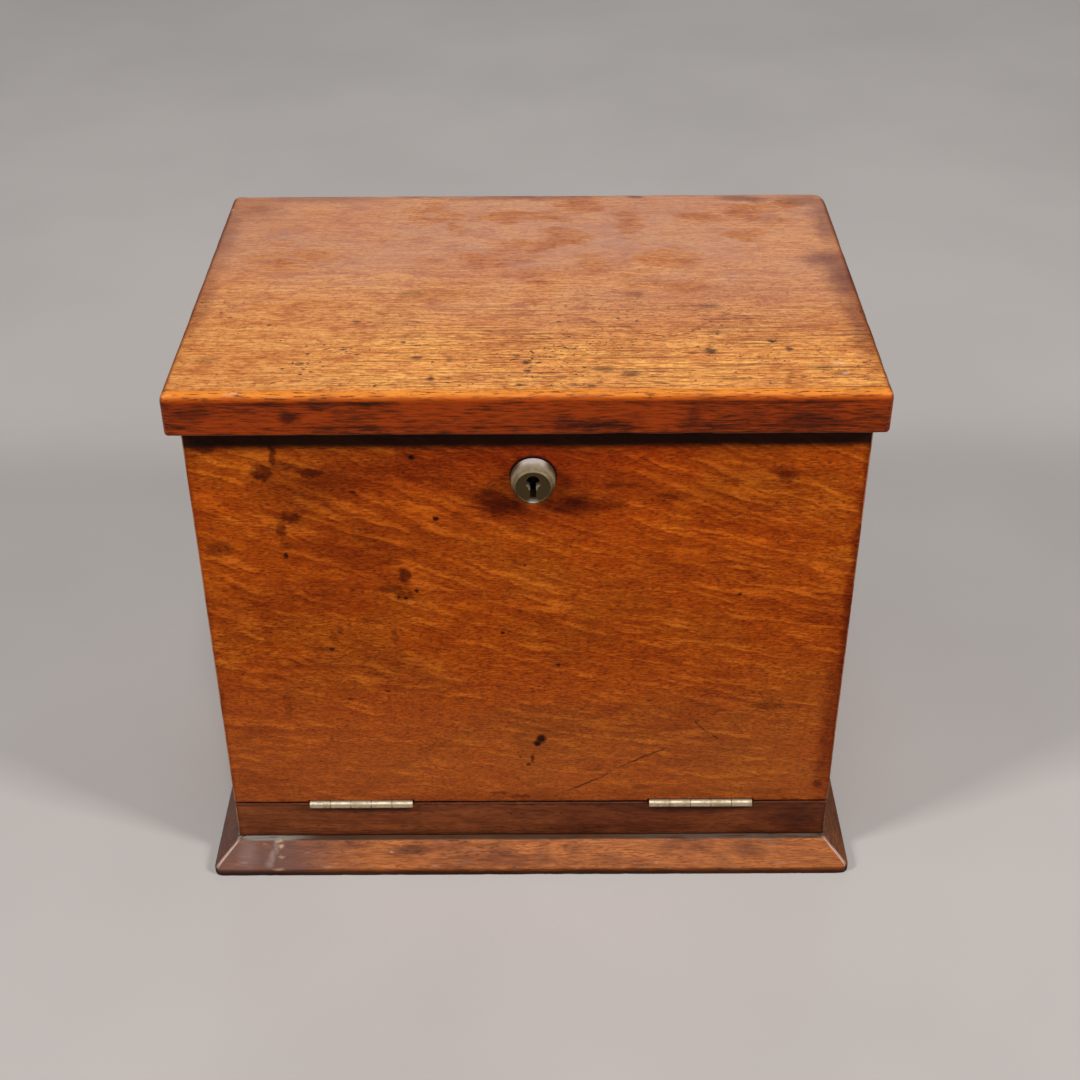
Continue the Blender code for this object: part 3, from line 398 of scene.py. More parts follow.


# %% [markdown]
# ### Single marks
# Ink, dents and old nail holes sit where a life of use left them, so each is placed one by one:
# a ragged ellipse given in millimetres. The board's own place is nudged by noise first, which
# makes every outline uneven. Scratches are thin broken lines through a few points, and the
# smallest specks are too many to place, so they are the tops of a noise.

# %% Marks
def ragged_place(oak, reach, per_mm):
    """The board's place, nudged by up to half of reach, in per_mm lumps to the millimetre."""
    scaled = oak.vector("MULTIPLY", oak.place, (per_mm,) * 3)
    lumps = oak.node("TexNoise", {"Vector": scaled, "Scale": 1.0, "Detail": 3.0}).outputs["Color"]
    nudge = oak.vector("SUBTRACT", lumps, (0.5, 0.5, 0.5))
    return oak.vector("ADD", oak.place, oak.vector("MULTIPLY", nudge, (reach,) * 3))


def on_face(oak, face, values):
    """A point of one face, such as "XZ", counted from the middle of the board."""
    point = Vector((0, 0, 0))
    for axis, value in zip(face, values):
        number = AXES.index(axis)
        point[number] = value - oak.middle[number]
    return point


def marked(oak, face, marks, soft, reach, per_mm):
    """How deeply each point is marked, by (first, second, half width, half height, share)."""
    where = ragged_place(oak, reach, per_mm)
    deepest = 0.0
    for *centre, wide, high, share in marks:
        scale = Vector((0, 0, 0))
        for axis, size in zip(face, (wide, high)):
            scale[AXES.index(axis)] = 1.0 / size
        offset = oak.vector("SUBTRACT", where, on_face(oak, face, centre))
        offset = oak.vector("MULTIPLY", offset, scale)
        spot = oak.fade(oak.vector("LENGTH", offset), 1.0 + soft, 1.0 - soft, 0.0, share)
        deepest = oak.math("MAXIMUM", deepest, spot)
    return deepest


def lay_marks(oak, face, marks, colour, soft, reach, per_mm, mode="MULTIPLY"):
    oak.tint(marked(oak, face, marks, soft, reach, per_mm), colour, mode)


# %% Scratches and specks
def lay_scratch(oak, face, points, width, share, colour=(0.05, 0.018, 0.008)):
    """A thin broken line through points on one face, drawn as short straight runs."""
    keep = [float(axis in face) for axis in AXES]
    flat = oak.vector("MULTIPLY", ragged_place(oak, 2.2, 0.22), keep)
    corners = [on_face(oak, face, point) for point in points]
    line = 0.0
    for start, end in zip(corners, corners[1:]):
        run = end - start
        offset = oak.vector("SUBTRACT", flat, start)
        part = oak.node("VectorMath", [offset, run], operation="DOT_PRODUCT").outputs["Value"]
        part = oak.node("Math", [part, run.length_squared], operation="DIVIDE", use_clamp=True)
        foot = oak.join(*(oak.times(part.outputs[0], value) for value in run))
        away = oak.vector("LENGTH", oak.vector("SUBTRACT", offset, foot))
        line = oak.math("MAXIMUM", line, oak.fade(away, width, width * 0.3, 0.0, share))
    broken = oak.noise(oak.place, (0.16, 0.16, 0.16), 3.0, 0.6)
    line = oak.times(line, oak.fade(broken, 0.38, 0.58, 0.15, 1.0))
    oak.tint(line, colour, "MIX")
    oak.height = oak.math("SUBTRACT", oak.height, line)


def lay_specks(oak, share, per_mm, cut):
    """Ink specks and dents: the highest lumps of a noise, gathered in loose crowds."""
    lumps = oak.noise(oak.place, per_mm, 2.0, 0.5)
    crowd = oak.noise(oak.place, (0.03, 0.045, 0.045), 2.0)
    lumps = oak.math("MULTIPLY_ADD", crowd, 0.25, lumps)
    spots = oak.times(oak.fade(lumps, cut, cut + 0.05), share)
    oak.tint(spots, (0.055, 0.018, 0.010), "MIX")
    oak.height = oak.math("SUBTRACT", oak.height, spots)


print("oak layers ready")

# %% [markdown]
# ## Boards with softened arrises
# A saw leaves an edge sharp, but a century of hands doesn't. Each board is copied from the
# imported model, its loose triangles are merged, its flat faces are joined up, and its sharp
# edges get a small round. Long arrises are also scored across and pressed in here and there,
# so that they aren't ruler straight. Weighted normals keep the broad faces looking flat.

# %% Copy and soften
WELD = 0.002 * MM
FLAT = math.radians(0.4)
SHARP = math.radians(42)
SMOOTH = math.radians(36)


def merged_copy(node):
    shape = bmesh.new()
    shape.from_mesh(frame["nodes"][node].data)
    bmesh.ops.remove_doubles(shape, verts=shape.verts, dist=WELD)
    bmesh.ops.dissolve_limit(shape, angle_limit=FLAT, verts=shape.verts, edges=shape.edges)
    return shape


def soften(shape, width, steps=2):
    edges = [edge for edge in shape.edges if edge.is_manifold and edge.calc_face_angle() > SHARP]
    bmesh.ops.bevel(shape, geom=edges, offset=width * MM, offset_type="OFFSET", segments=steps,
                    profile=0.5, affect="EDGES", clamp_overlap=True)


def score_across(shape, axis, pitch):
    """Cuts the faces at every pitch along one axis, so that an arris has points to move."""
    number = AXES.index(axis)
    values = [vert.co[number] for vert in shape.verts]
    low, high = min(values), max(values)
    count = int((high - low) / (pitch * MM))
    normal = Vector([float(axis == letter) for letter in AXES])
    for step in range(1, count):
        place = normal * (low + (high - low) * step / count)
        every = shape.verts[:] + shape.edges[:] + shape.faces[:]
        bmesh.ops.bisect_plane(shape, geom=every, plane_co=place, plane_no=normal, dist=1e-7)


def press_arrises(shape, depth, reach, lumps, seed):
    """Pushes points near an arris inwards by uneven amounts, never outwards."""
    low = Vector([min(vert.co[n] for vert in shape.verts) for n in range(3)])
    high = Vector([max(vert.co[n] for vert in shape.verts) for n in range(3)])
    shape.normal_update()
    for vert in shape.verts:
        inward = sorted(min(vert.co[n] - low[n], high[n] - vert.co[n]) for n in range(3))
        near = 1.0 - inward[1] / (reach * MM)
        if near > 0.0:
            worn = noise.noise(vert.co / (lumps * MM) + Vector((seed, 0, 0)))
            worn += 0.5 * noise.noise(vert.co / (lumps * 0.3 * MM) + Vector((0, seed, 0)))
            vert.co -= vert.normal * max(0.0, worn) * near * depth * MM


def finished_piece(name, shape, body, slot, material, *nodes):
    """Turns a worked shape into a piece that rides on a body and stands for its nodes."""
    mesh = bpy.data.meshes.new(name)
    shape.to_mesh(mesh)
    shape.free()
    mesh.shade_smooth()
    mesh.set_sharp_from_angle(angle=SMOOTH)
    mesh.materials.clear()
    mesh.materials.append(material)
    piece = bpy.data.objects.new(name, mesh)
    scene.collection.objects.link(piece)
    weighted = piece.modifiers.new("flat faces stay flat", "WEIGHTED_NORMAL")
    weighted.keep_sharp = True
    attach(piece, body)
    if nodes:
        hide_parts(*nodes)
    return piece


print("boards can be copied and softened")

# %% [markdown]
# ## The lid
# The lid is the most worn board: its front third is rubbed to a golden orange with black specks
# in the pores, while the back still holds a pale film of old wax, which also carries a painted
# sheen, with clean patches broken through it. Its front edge is dark and streaked under a bright
# arris, rubbed and given a painted highlight. The film and its painted sheen are laid as one thin
# pale layer whose share grows towards the back, and the worn patches are marks that take it away.

# %% Lid wax film and painted sheen
# Patches worn through the wax, where the painted sheen is taken away
WORN_PATCHES = (
    (-45.0, 81.3, 13.0, 12.0, 0.9), (-36.0, 64.0, 6.0, 10.0, 0.7), (-1.2, 77.6, 24.0, 7.0, 1.0),
    (27.5, 89.7, 10.0, 9.0, 1.0), (19.4, 52.1, 12.0, 10.0, 1.0), (1.5, 42.4, 16.0, 6.0, 0.9),
    (-19.9, 27.4, 20.0, 9.0, 0.9), (49.9, 68.8, 7.0, 15.0, 0.8), (64.1, 28.7, 14.0, 9.0, 0.9),
    (-39.6, -10.9, 16.0, 10.0, 0.9), (6.8, -1.2, 12.0, 18.0, 0.8), (53.0, 2.7, 10.0, 11.0, 0.8),
    (86.9, 74.6, 14.0, 5.0, 0.9), (112.0, 79.5, 14.0, 14.0, 0.8), (105.1, 53.4, 10.0, 5.0, 0.8),
    (69.0, -3.3, 14.0, 6.0, 0.9), (-70.0, 50.0, 16.0, 6.0, 0.4), (30.0, 22.0, 9.0, 12.0, 0.7),
    (128.0, 92.0, 9.0, 4.0, 0.8), (-112.0, 32.0, 20.0, 14.0, 0.6), (-96.0, -22.0, 24.0, 9.0, 0.6),
)


def lay_haze(oak):
    """A pale film of old wax that also carries a painted sheen, thicker towards the back, with
    patches worn through it.
    """
    back = oak.fade(oak.at["Y"], -75.0, 60.0)
    cloud = oak.noise(oak.place, (0.012, 0.02, 0.02), 4.0, 0.55)
    near = marked(oak, "XY", WORN_PATCHES, soft=0.95, reach=18.0, per_mm=0.06)
    fray = oak.math("SUBTRACT", oak.noise(oak.place, (0.06, 0.15, 0.15), 6.0, 0.75), 0.5)
    streak = oak.fade(oak.noise(oak.grain, (0.03, 0.55, 0.55), 3.0, 0.6), 0.36, 0.60, 0.5, 1.0)
    worn = oak.fade(oak.math("MULTIPLY_ADD", fray, 2.2, near), 0.12, 0.76)
    worn = oak.times(worn, streak)
    film = oak.times(back, oak.fade(cloud, 0.25, 0.70, 0.45, 1.0))
    oak.haze = oak.times(film, oak.math("MULTIPLY_ADD", worn, -0.65, 1.0))
    oak.tint(oak.times(oak.haze, 0.66), (0.42, 0.205, 0.142), "MIX")
    oak.tint(oak.times(worn, back), (0.74, 0.57, 0.43))
    # A pale painted sheen in patches towards the back
    painted_sheen = oak.fade(oak.noise(oak.place, (0.035, 0.07, 0.07), 3.0, 0.5), 0.58, 0.70, 0.0, 0.22)
    oak.tint(oak.times(painted_sheen, back), (0.36, 0.25, 0.22), "MIX")


# %% Lid edges
EDGE_BLOTS = (
    (-98.0, 259.5, 4.5, 2.2, 0.9), (116.0, 257.0, 13.0, 4.0, 0.7), (69.0, 260.0, 3.0, 5.0, 0.5),
    (-140.0, 261.0, 8.0, 3.0, 0.6), (28.0, 256.0, 14.0, 2.0, 0.5),
)


def lay_front_arris(oak, forward):
    """The upper front arris: rubbed to a patchy gold with a painted highlight towards the top, and
    dark dashes left in it.
    """
    arris = oak.times(oak.fade(oak.inward["Y"], 4.6, 3.6), forward,
                      oak.fade(oak.inward["Z"], 3.6, 2.0), oak.fade(oak.at["Z"], 0.0, 1.0))
    patchy = oak.noise(oak.grain, (0.07, 0.5, 0.5), 4.0, 0.6)
    patchy = oak.fade(patchy, 0.32, 0.60, 0.35, 0.95)
    golden = oak.blend(oak.fade(oak.inward["Z"], 2.2, 0.9), (0.50, 0.092, 0.004),
                       (0.74, 0.22, 0.020))
    oak.tint(oak.times(arris, patchy), golden, "MIX")
    dashes = oak.fade(oak.noise(oak.grain, (0.13, 1.2, 1.2), 4.0, 0.65), 0.53, 0.62, 0.0, 0.85)
    oak.tint(oak.times(arris, dashes), (0.12, 0.022, 0.003), "MIX")


def lay_front_edge(oak):
    """The front edge: dark old polish with black streaks along it, under a rubbed arris with a
    painted highlight.
    """
    forward = oak.fade(oak.at["Y"], 0.0, -1.0)
    front = oak.times(oak.fade(oak.inward["Y"], 1.6, 0.7), forward)
    streaks = oak.noise(oak.grain, (0.10, 1.6, 1.2), 5.0, 0.70)
    knots = oak.noise(oak.grain, (0.030, 0.1, 0.10), 3.0, 0.6)
    shade = oak.fade(oak.math("MULTIPLY_ADD", knots, 0.5, streaks), 0.62, 0.94)
    polish = oak.blend(shade, (0.38, 0.047, 0.003), (0.052, 0.008, 0.001))
    oak.tint(oak.times(front, 0.98), polish, "MIX")
    blots = marked(oak, "XZ", EDGE_BLOTS, soft=0.7, reach=4.0, per_mm=0.3)
    oak.tint(oak.times(blots, front), (0.16, 0.12, 0.14))
    line = oak.times(oak.fade(oak.inward["Z"], 5.2, 4.6), oak.fade(oak.inward["Z"], 3.2, 4.0))
    line = oak.times(line, front, oak.fade(knots, 0.40, 0.60, 0.1, 0.6))
    oak.tint(line, (0.22, 0.14, 0.14))
    lay_front_arris(oak, forward)
    # A thin painted highlight along the lower front arris
    foot = oak.times(front, oak.fade(oak.inward["Z"], 1.1, 0.5),
                     oak.fade(oak.at["Z"], 0.0, -1.0, 0.0, 0.55))
    oak.tint(foot, (0.48, 0.16, 0.06), "MIX")


def lay_lid_rim(oak):
    """Darker wood round the edges, and a dull underside."""
    edges = oak.math("MINIMUM", oak.inward["X"], oak.math("ADD", oak.inward["Y"], 0.6))
    oak.tint(oak.fade(edges, 2.8, 1.0, 0.0, 0.92), (0.40, 0.22, 0.22))
    under = oak.times(oak.fade(oak.inward["Z"], 1.2, 0.3), oak.fade(oak.at["Z"], 0.0, -1.0))
    oak.tint(under, (0.52, 0.42, 0.44))


# %% Lid marks
LID_SPOTS = (
    (-75.7, -36.7, 2.2, 0.8, 0.8), (-69.5, -37.2, 1.6, 0.7, 0.7), (-53.7, -56.5, 1.2, 1.2, 0.8),
    (-47.0, -70.6, 2.4, 1.3, 0.9), (-32.7, -72.2, 1.6, 2.6, 0.5), (-79.3, -62.7, 1.3, 1.0, 0.8),
    (-96.1, -75.4, 1.8, 1.6, 0.6), (-85.9, -78.3, 1.0, 0.9, 0.7), (-40.1, -88.9, 1.7, 1.0, 0.9),
    (-85.8, -99.0, 1.5, 0.9, 0.7), (-0.1, -75.4, 1.8, 1.6, 0.9), (0.4, -82.9, 1.5, 1.2, 0.9),
    (30.8, -81.3, 3.0, 2.0, 0.6), (44.0, -85.2, 4.0, 2.6, 0.6), (-2.6, -94.7, 1.8, 1.2, 0.9),
    (19.8, -95.0, 2.4, 1.0, 0.8), (27.3, -95.6, 2.0, 1.0, 0.8), (20.4, -63.1, 1.3, 1.1, 0.8),
    (78.6, -65.7, 2.6, 2.4, 0.9), (112.4, -64.1, 1.6, 2.0, 0.8), (81.9, -49.0, 3.6, 1.5, 0.5),
    (43.5, -86.1, 2.2, 1.6, 0.8), (34.1, -81.3, 2.6, 2.2, 0.6), (124.3, -80.4, 5.0, 3.0, 0.35),
    (131.2, -85.1, 3.0, 2.0, 0.45), (49.4, -10.4, 4.0, 3.4, 0.3), (80.8, -22.9, 5.0, 2.4, 0.45),
    (-135.8, -72.1, 5.0, 3.0, 0.4), (-52.5, -8.7, 6.0, 3.0, 0.3), (54.5, 102.0, 4.0, 2.0, 0.6),
)
# Pale scuffs, and painted glints on three corners of the lid
LID_SCUFFS_AND_GLINTS = (
    (131.3, -77.1, 2.2, 0.9, 0.35), (133.4, -85.8, 1.6, 0.9, 0.35), (-148.0, -101.5, 2.0, 1.2, 0.7),
    (149.0, -101.8, 1.6, 1.0, 0.7), (-120.0, -100.5, 5.0, 0.6, 0.35), (-149.6, 88.0, 1.2, 1.2, 0.9),
)
LID_SCRATCHES = (((113.4, -19.2), (126.3, -49.6), (144.7, -75.4)), ((106.0, -9.0), (118.0, -38.0)))
LID_ENDS = (
    (143.0, 26.0, 11.0, 8.0, 0.95), (147.0, 6.0, 8.0, 26.0, 0.95), (147.0, -40.0, 6.0, 34.0, 0.8),
    (-148.0, 60.0, 6.0, 45.0, 0.55), (-147.0, -20.0, 4.0, 40.0, 0.5), (147.0, 70.0, 6.0, 26.0, 0.7),
    (-6.4, 101.5, 34.0, 3.2, 0.7), (109.3, 98.5, 13.0, 3.4, 0.9), (-54.2, 102.5, 12.0, 2.6, 0.6),
    (-110.0, 100.0, 34.0, 4.0, 0.5), (139.0, 96.0, 12.0, 6.0, 0.7), (-138.0, 88.0, 12.0, 14.0, 0.4),
)
print(len(LID_SPOTS), "spots and", len(LID_SCUFFS_AND_GLINTS), "scuffs on the lid")

# %% Lid finish
def lay_lines(oak, dark, share):
    """Long thin dark lines of early wood, as crisp as pencil strokes."""
    fine = oak.noise(oak.grain, (0.020, 0.85, 0.4), 3.0, 0.6)
    strokes = oak.times(oak.fade(fine, 0.53, 0.62), share)
    oak.tint(strokes, dark, "MIX")
    oak.height = oak.math("MULTIPLY_ADD", strokes, -0.5, oak.height)


def lay_lid_wood(oak, front, left):
    """The wood of the lid, lined and dark in the pores at the front, plainer to the left."""
    lined = oak.times(front, oak.math("MULTIPLY_ADD", left, -0.60, 1.0))
    lay_growth(oak, (0.64, 0.205, 0.030), (1.0, 0.500, 0.116), contrast=0.66, length=5.0, narrow=0.6)
    lay_flecks(oak, (0.96, 0.46, 0.12), 0.25, (0.05, 0.10), start=0.50)
    lay_pores(oak, (0.16, 0.040, 0.010), oak.times(lined, 0.85), cut=0.55)
    lay_lines(oak, (0.24, 0.060, 0.012), oak.times(lined, 0.8))
    lay_patina(oak, (0.76, 0.56, 0.48), 0.5)
    lay_patina(oak, (0.74, 0.56, 0.48), 0.68, (0.06, 0.13, 0.13), start=0.48, end=0.62)
    lay_patina(oak, (0.56, 0.40, 0.36), 0.6, (0.45, 0.70, 0.70), start=0.48, end=0.64)


def lay_lid_wear(oak, front, left):
    """The life of the top face: less gold to the back and left, wax film and painted sheen, ink,
    scuffs and painted glints, dark ends.
    """
    golden = oak.times(oak.fade(oak.at["Y"], -25.0, -78.0),
                       oak.math("MULTIPLY_ADD", left, -0.9, 1.0))
    oak.tint(oak.math("SUBTRACT", 1.0, golden), (0.83, 0.755, 0.88))
    lay_haze(oak)
    lay_specks(oak, front, (0.26, 0.40, 0.40), cut=0.80)
    lay_specks(oak, front, (0.60, 0.90, 0.90), cut=0.80)
    lay_marks(oak, "XY", LID_SPOTS, (0.12, 0.09, 0.11), soft=0.6, reach=2.6, per_mm=0.5)
    lay_marks(oak, "XY", LID_SCUFFS_AND_GLINTS, (0.80, 0.64, 0.54), soft=0.6, reach=2.0, per_mm=0.4, mode="MIX")
    for points in LID_SCRATCHES:
        lay_scratch(oak, "XY", points, width=0.8, share=0.09, colour=(0.78, 0.54, 0.40))
    lay_marks(oak, "XY", LID_ENDS, (0.40, 0.30, 0.36), soft=0.8, reach=9.0, per_mm=0.10)


def lid_finish():
    oak = Oak("oak_lid", "lid_board", "X", "Y", (31.0, 17.0, 5.0))
    left = oak.fade(oak.at["X"], -35.0, -115.0)
    front = oak.fade(oak.at["Y"], 30.0, -75.0, 0.15, 1.0)
    lay_lid_wood(oak, front, left)
    oak.only = oak.times(oak.fade(oak.inward["Z"], 3.4, 1.2), oak.fade(oak.at["Z"], 0.0, 1.0))
    lay_lid_wear(oak, front, left)
    oak.only = None
    lay_lid_rim(oak)
    lay_front_edge(oak)
    rough = oak.math("MULTIPLY_ADD", oak.haze, -0.06, 0.42)
    return oak.finish_board(rough, 0.20, bump=0.5, deep=0.12, Specular_IOR_Level=0.15)


# %% The lid itself
BACK_RIGHT_ROUND = 9.0 * MM
BACK_LEFT_ROUND = 4.0 * MM


def round_corner(shape, corner, radius):
    """Draws in one upright corner: a square of the plan becomes a quarter of a disc."""
    across = math.copysign(1.0, corner.x)
    along = math.copysign(1.0, corner.y)
    for vert in shape.verts:
        u = 1.0 + across * (vert.co.x - corner.x) / radius
        v = 1.0 + along * (vert.co.y - corner.y) / radius
        if u > 0.0 and v > 0.0:
            vert.co.x = corner.x + across * radius * (u * math.sqrt(1.0 - v * v / 2) - 1.0)
            vert.co.y = corner.y + along * radius * (v * math.sqrt(1.0 - u * u / 2) - 1.0)


lid_shape = merged_copy("lid_board")
soften(lid_shape, width=0.35)
score_across(lid_shape, "X", pitch=3.0)
score_across(lid_shape, "Y", pitch=6.0)
press_arrises(lid_shape, depth=0.8, reach=3.4, lumps=12.0, seed=3.1)
lid_low, lid_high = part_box("lid_board")
round_corner(lid_shape, lid_high, BACK_RIGHT_ROUND)
round_corner(lid_shape, Vector((lid_low.x, lid_high.y, 0.0)), BACK_LEFT_ROUND)
lid = finished_piece("lid_board_finish", lid_shape, "lid", "oak_lid", lid_finish(), "lid_board")
print("lid", len(lid.data.polygons), "faces")

# %% [markdown]
# ## The fall and its rail
# The fall is quartered oak at its best: orange flecks slant right across it over short dark
# pores. They are laid twice, broad ribbons first and finer ones over them. Round the lock the
# nozzle's shadows are painted dark over some finger grime, the lid's shadow is painted along the
# top, and there are ink blots, a long scratch and a few old holes. The rail below it is the same
# oak, left darker because nothing rubs it.

# %% Fall marks
# Dark blooms of grime, mixed with painted shade: the nozzle's shadows beside it, a line down the
# right arris, and a band below the lid's shadow
FALL_BLOOMS_AND_SHADE = (
    (-118.0, 243.0, 16.0, 5.0, 0.5), (-60.0, 228.0, 30.0, 8.0, 0.45), (-86.0, 222.0, 22.0, 8.0, 0.55),
    (-11.0, 211.5, 9.0, 6.0, 0.55), (-14.0, 218.0, 7.0, 6.0, 0.4), (20.0, 211.5, 12.0, 4.5, 0.65),
    (34.0, 213.0, 11.0, 4.0, 0.5), (13.0, 229.0, 4.0, 7.0, 0.4), (62.0, 216.0, 16.0, 4.0, 0.4),
    (30.0, 222.0, 24.0, 4.0, 0.35), (-100.0, 162.0, 30.0, 8.0, 0.35), (-70.0, 190.0, 26.0, 8.0, 0.3),
    (143.0, 80.0, 5.0, 46.0, 0.75), (104.0, 226.0, 20.0, 5.0, 0.4), (-45.0, 40.0, 60.0, 3.0, 0.3),
    (80.0, 41.0, 60.0, 3.0, 0.35), (-128.0, 50.0, 18.0, 10.0, 0.3), (144.8, 150.0, 2.2, 90.0, 0.85),
    (0.0, 236.0, 70.0, 6.0, 0.4),
)
# A painted ring of shadow round the foot of the nozzle
NOZZLE_SHADOW_RING = ((2.4, 225.7, 10.3, 10.6, 0.95),)
# Painted shadows that the nozzle casts on the fall to each side below it, over some finger grime
NOZZLE_SHADOWS = (
    (-11.0, 211.5, 9.0, 5.0, 0.85), (-17.0, 215.5, 8.0, 5.0, 0.6), (18.0, 210.8, 10.0, 4.6, 0.9),
    (29.0, 210.0, 10.0, 3.4, 0.6), (14.5, 221.0, 3.0, 8.0, 0.5), (-9.5, 222.0, 2.4, 8.0, 0.4),
)
FALL_REDS = (
    (0.0, 234.0, 56.0, 12.0, 0.9), (-58.0, 226.0, 30.0, 9.0, 0.6), (4.0, 206.0, 40.0, 8.0, 0.5),
)
FALL_LIGHTS = (
    (50.0, 236.0, 28.0, 5.0, 0.9), (62.0, 206.0, 40.0, 10.0, 0.7), (96.0, 196.0, 34.0, 8.0, 0.6),
    (96.0, 232.0, 36.0, 8.0, 0.8), (-124.0, 218.0, 14.0, 26.0, 0.5), (20.0, 190.0, 40.0, 8.0, 0.5),
)
FALL_STAINS = (
    (-113.5, 228.0, 4.6, 3.6, 0.95), (-108.4, 236.5, 1.5, 5.6, 0.9), (-104.0, 231.5, 6.0, 2.2, 0.6),
    (-93.0, 228.0, 6.0, 2.0, 0.8), (-138.0, 241.0, 6.0, 3.4, 0.8), (-103.6, 204.9, 4.6, 2.6, 0.85),
    (-108.0, 199.0, 2.2, 4.0, 0.75), (-107.4, 190.0, 3.0, 2.4, 0.55), (-55.1, 174.1, 2.6, 4.2, 0.95),
    (-62.0, 166.5, 5.0, 2.2, 0.65), (-56.0, 163.0, 4.0, 3.0, 0.6), (-136.0, 189.0, 6.0, 4.0, 0.5),
    (-96.0, 132.5, 5.0, 1.4, 0.5), (-61.4, 139.9, 1.6, 4.0, 0.5), (-89.7, 140.0, 1.4, 3.0, 0.5),
    (-85.8, 143.5, 1.2, 2.0, 0.5), (-75.4, 149.1, 2.6, 2.4, 0.4), (111.6, 225.3, 4.0, 3.4, 0.65),
    (-114.0, 99.0, 2.0, 7.0, 0.4), (39.7, 221.2, 8.0, 1.2, 0.5), (63.6, 215.4, 7.0, 1.6, 0.5),
    (-30.0, 206.0, 4.0, 2.0, 0.4), (-15.0, 42.5, 4.0, 1.4, 0.6), (-5.0, 40.4, 5.0, 1.2, 0.6),
    (53.4, 46.0, 4.0, 1.4, 0.5), (139.8, 48.0, 2.6, 2.2, 0.6), (112.0, 98.0, 8.0, 3.0, 0.45),
)
FALL_HOLES = (
    (-40.2, 204.2, 1.5, 1.2, 1.0), (-49.4, 235.6, 1.3, 1.1, 1.0), (-75.6, 218.2, 1.8, 0.6, 0.9),
    (-50.2, 165.3, 0.9, 0.9, 0.9), (-55.2, 161.4, 1.0, 0.8, 0.9), (-58.4, 162.0, 0.7, 0.7, 0.8),
    (-90.7, 132.5, 1.3, 0.9, 0.9), (-12.2, 141.5, 1.0, 0.8, 0.9), (-84.5, 102.6, 1.7, 0.6, 0.8),
    (-66.4, 107.4, 1.3, 0.8, 0.6), (-107.1, 184.8, 1.1, 1.6, 0.9), (13.3, 122.6, 1.2, 0.9, 0.9),
    (-1.6, 179.2, 0.9, 0.7, 0.8), (95.0, 162.8, 1.0, 1.0, 0.8), (75.9, 202.4, 1.0, 0.8, 0.6),
    (5.3, 77.5, 2.4, 2.6, 1.0), (3.4, 74.6, 1.8, 1.6, 1.0), (1.0, 65.0, 0.8, 2.2, 0.8),
    (-1.0, 61.0, 1.2, 0.8, 0.8), (-5.0, 66.0, 0.7, 0.7, 0.7),
)
FALL_SCRATCHES = (
    ((12.4, 41.6), (26.5, 48.2), (37.2, 54.6), (44.3, 59.8), (55.3, 66.2), (66.1, 71.9)),
    ((78.4, 87.5), (82.6, 83.0), (89.4, 77.4)),
)
print(len(FALL_STAINS), "stains and", len(FALL_HOLES), "holes on the fall")

# %% Fall finish
def lay_under_lid_shadow(oak):
    """Painted shadow of the lid's overhang, with some grime, so the top of the fall is nearly black.
    """
    uneven = oak.noise(oak.place, (0.08, 0.08, 0.3), 3.0, 0.6)
    level = oak.math("MULTIPLY_ADD", uneven, 2.4, oak.inward["Z"])
    band = oak.times(oak.fade(level, 11.4, 8.0), oak.fade(oak.at["Z"], 0.0, 1.0))
    oak.tint(oak.times(band, 0.93), (0.016, 0.004, 0.002), "MIX")


def lay_side_highlights(oak, share):
    """A thin pale line painted on the two upright arrises as a highlight."""
    uneven = oak.fade(oak.noise(oak.place, (0.1, 0.1, 0.06), 4.0, 0.6), 0.36, 0.60)
    forward = oak.fade(oak.at["Y"], 1.2 - oak.half.y, 0.6 - oak.half.y)
    side = oak.times(oak.fade(oak.inward["X"], 0.9, 0.35), uneven, forward)
    oak.tint(oak.times(side, share), (0.62, 0.30, 0.17), "MIX")


def lay_fall_wood(oak):
    """The wood of the fall, with more and brighter flecks towards its top."""
    lay_growth(oak, (0.33, 0.045, 0.002), (0.58, 0.101, 0.005), contrast=0.62, length=4.0, narrow=0.6)
    broad = oak.fade(oak.at["Z"], -40.0, 50.0, 0.15, 0.60)
    lay_flecks(oak, (0.84, 0.172, 0.008), broad, (0.12, 0.40), start=0.50, shade=0.35,
               ribbon=(0.032, 0.13), frayed=0.20)
    share = oak.fade(oak.at["Z"], -60.0, 60.0, 0.64, 0.74)
    lay_flecks(oak, (0.80, 0.178, 0.012), share, (0.14, 0.42), start=0.50, shade=0.55,
               ribbon=(0.034, 0.21))
    lay_pores(oak, (0.10, 0.018, 0.003), 0.70, cut=0.50, length=2.6, width=0.55, soft=0.15)
    lay_patina(oak, (0.58, 0.42, 0.38), 0.55)
    lay_patina(oak, (0.68, 0.52, 0.50), 0.60, (0.10, 0.30, 0.30), start=0.48, end=0.64)
    fine = oak.fade(oak.at["Z"], 30.0, -70.0, 0.55, 0.85)
    lay_patina(oak, (0.54, 0.42, 0.40), fine, (0.55, 1.0, 1.0), start=0.49, end=0.63)
    lay_patina(oak, (0.98, 1.28, 1.50), 0.6, (0.012, 0.02, 0.02), start=0.46, end=0.60)


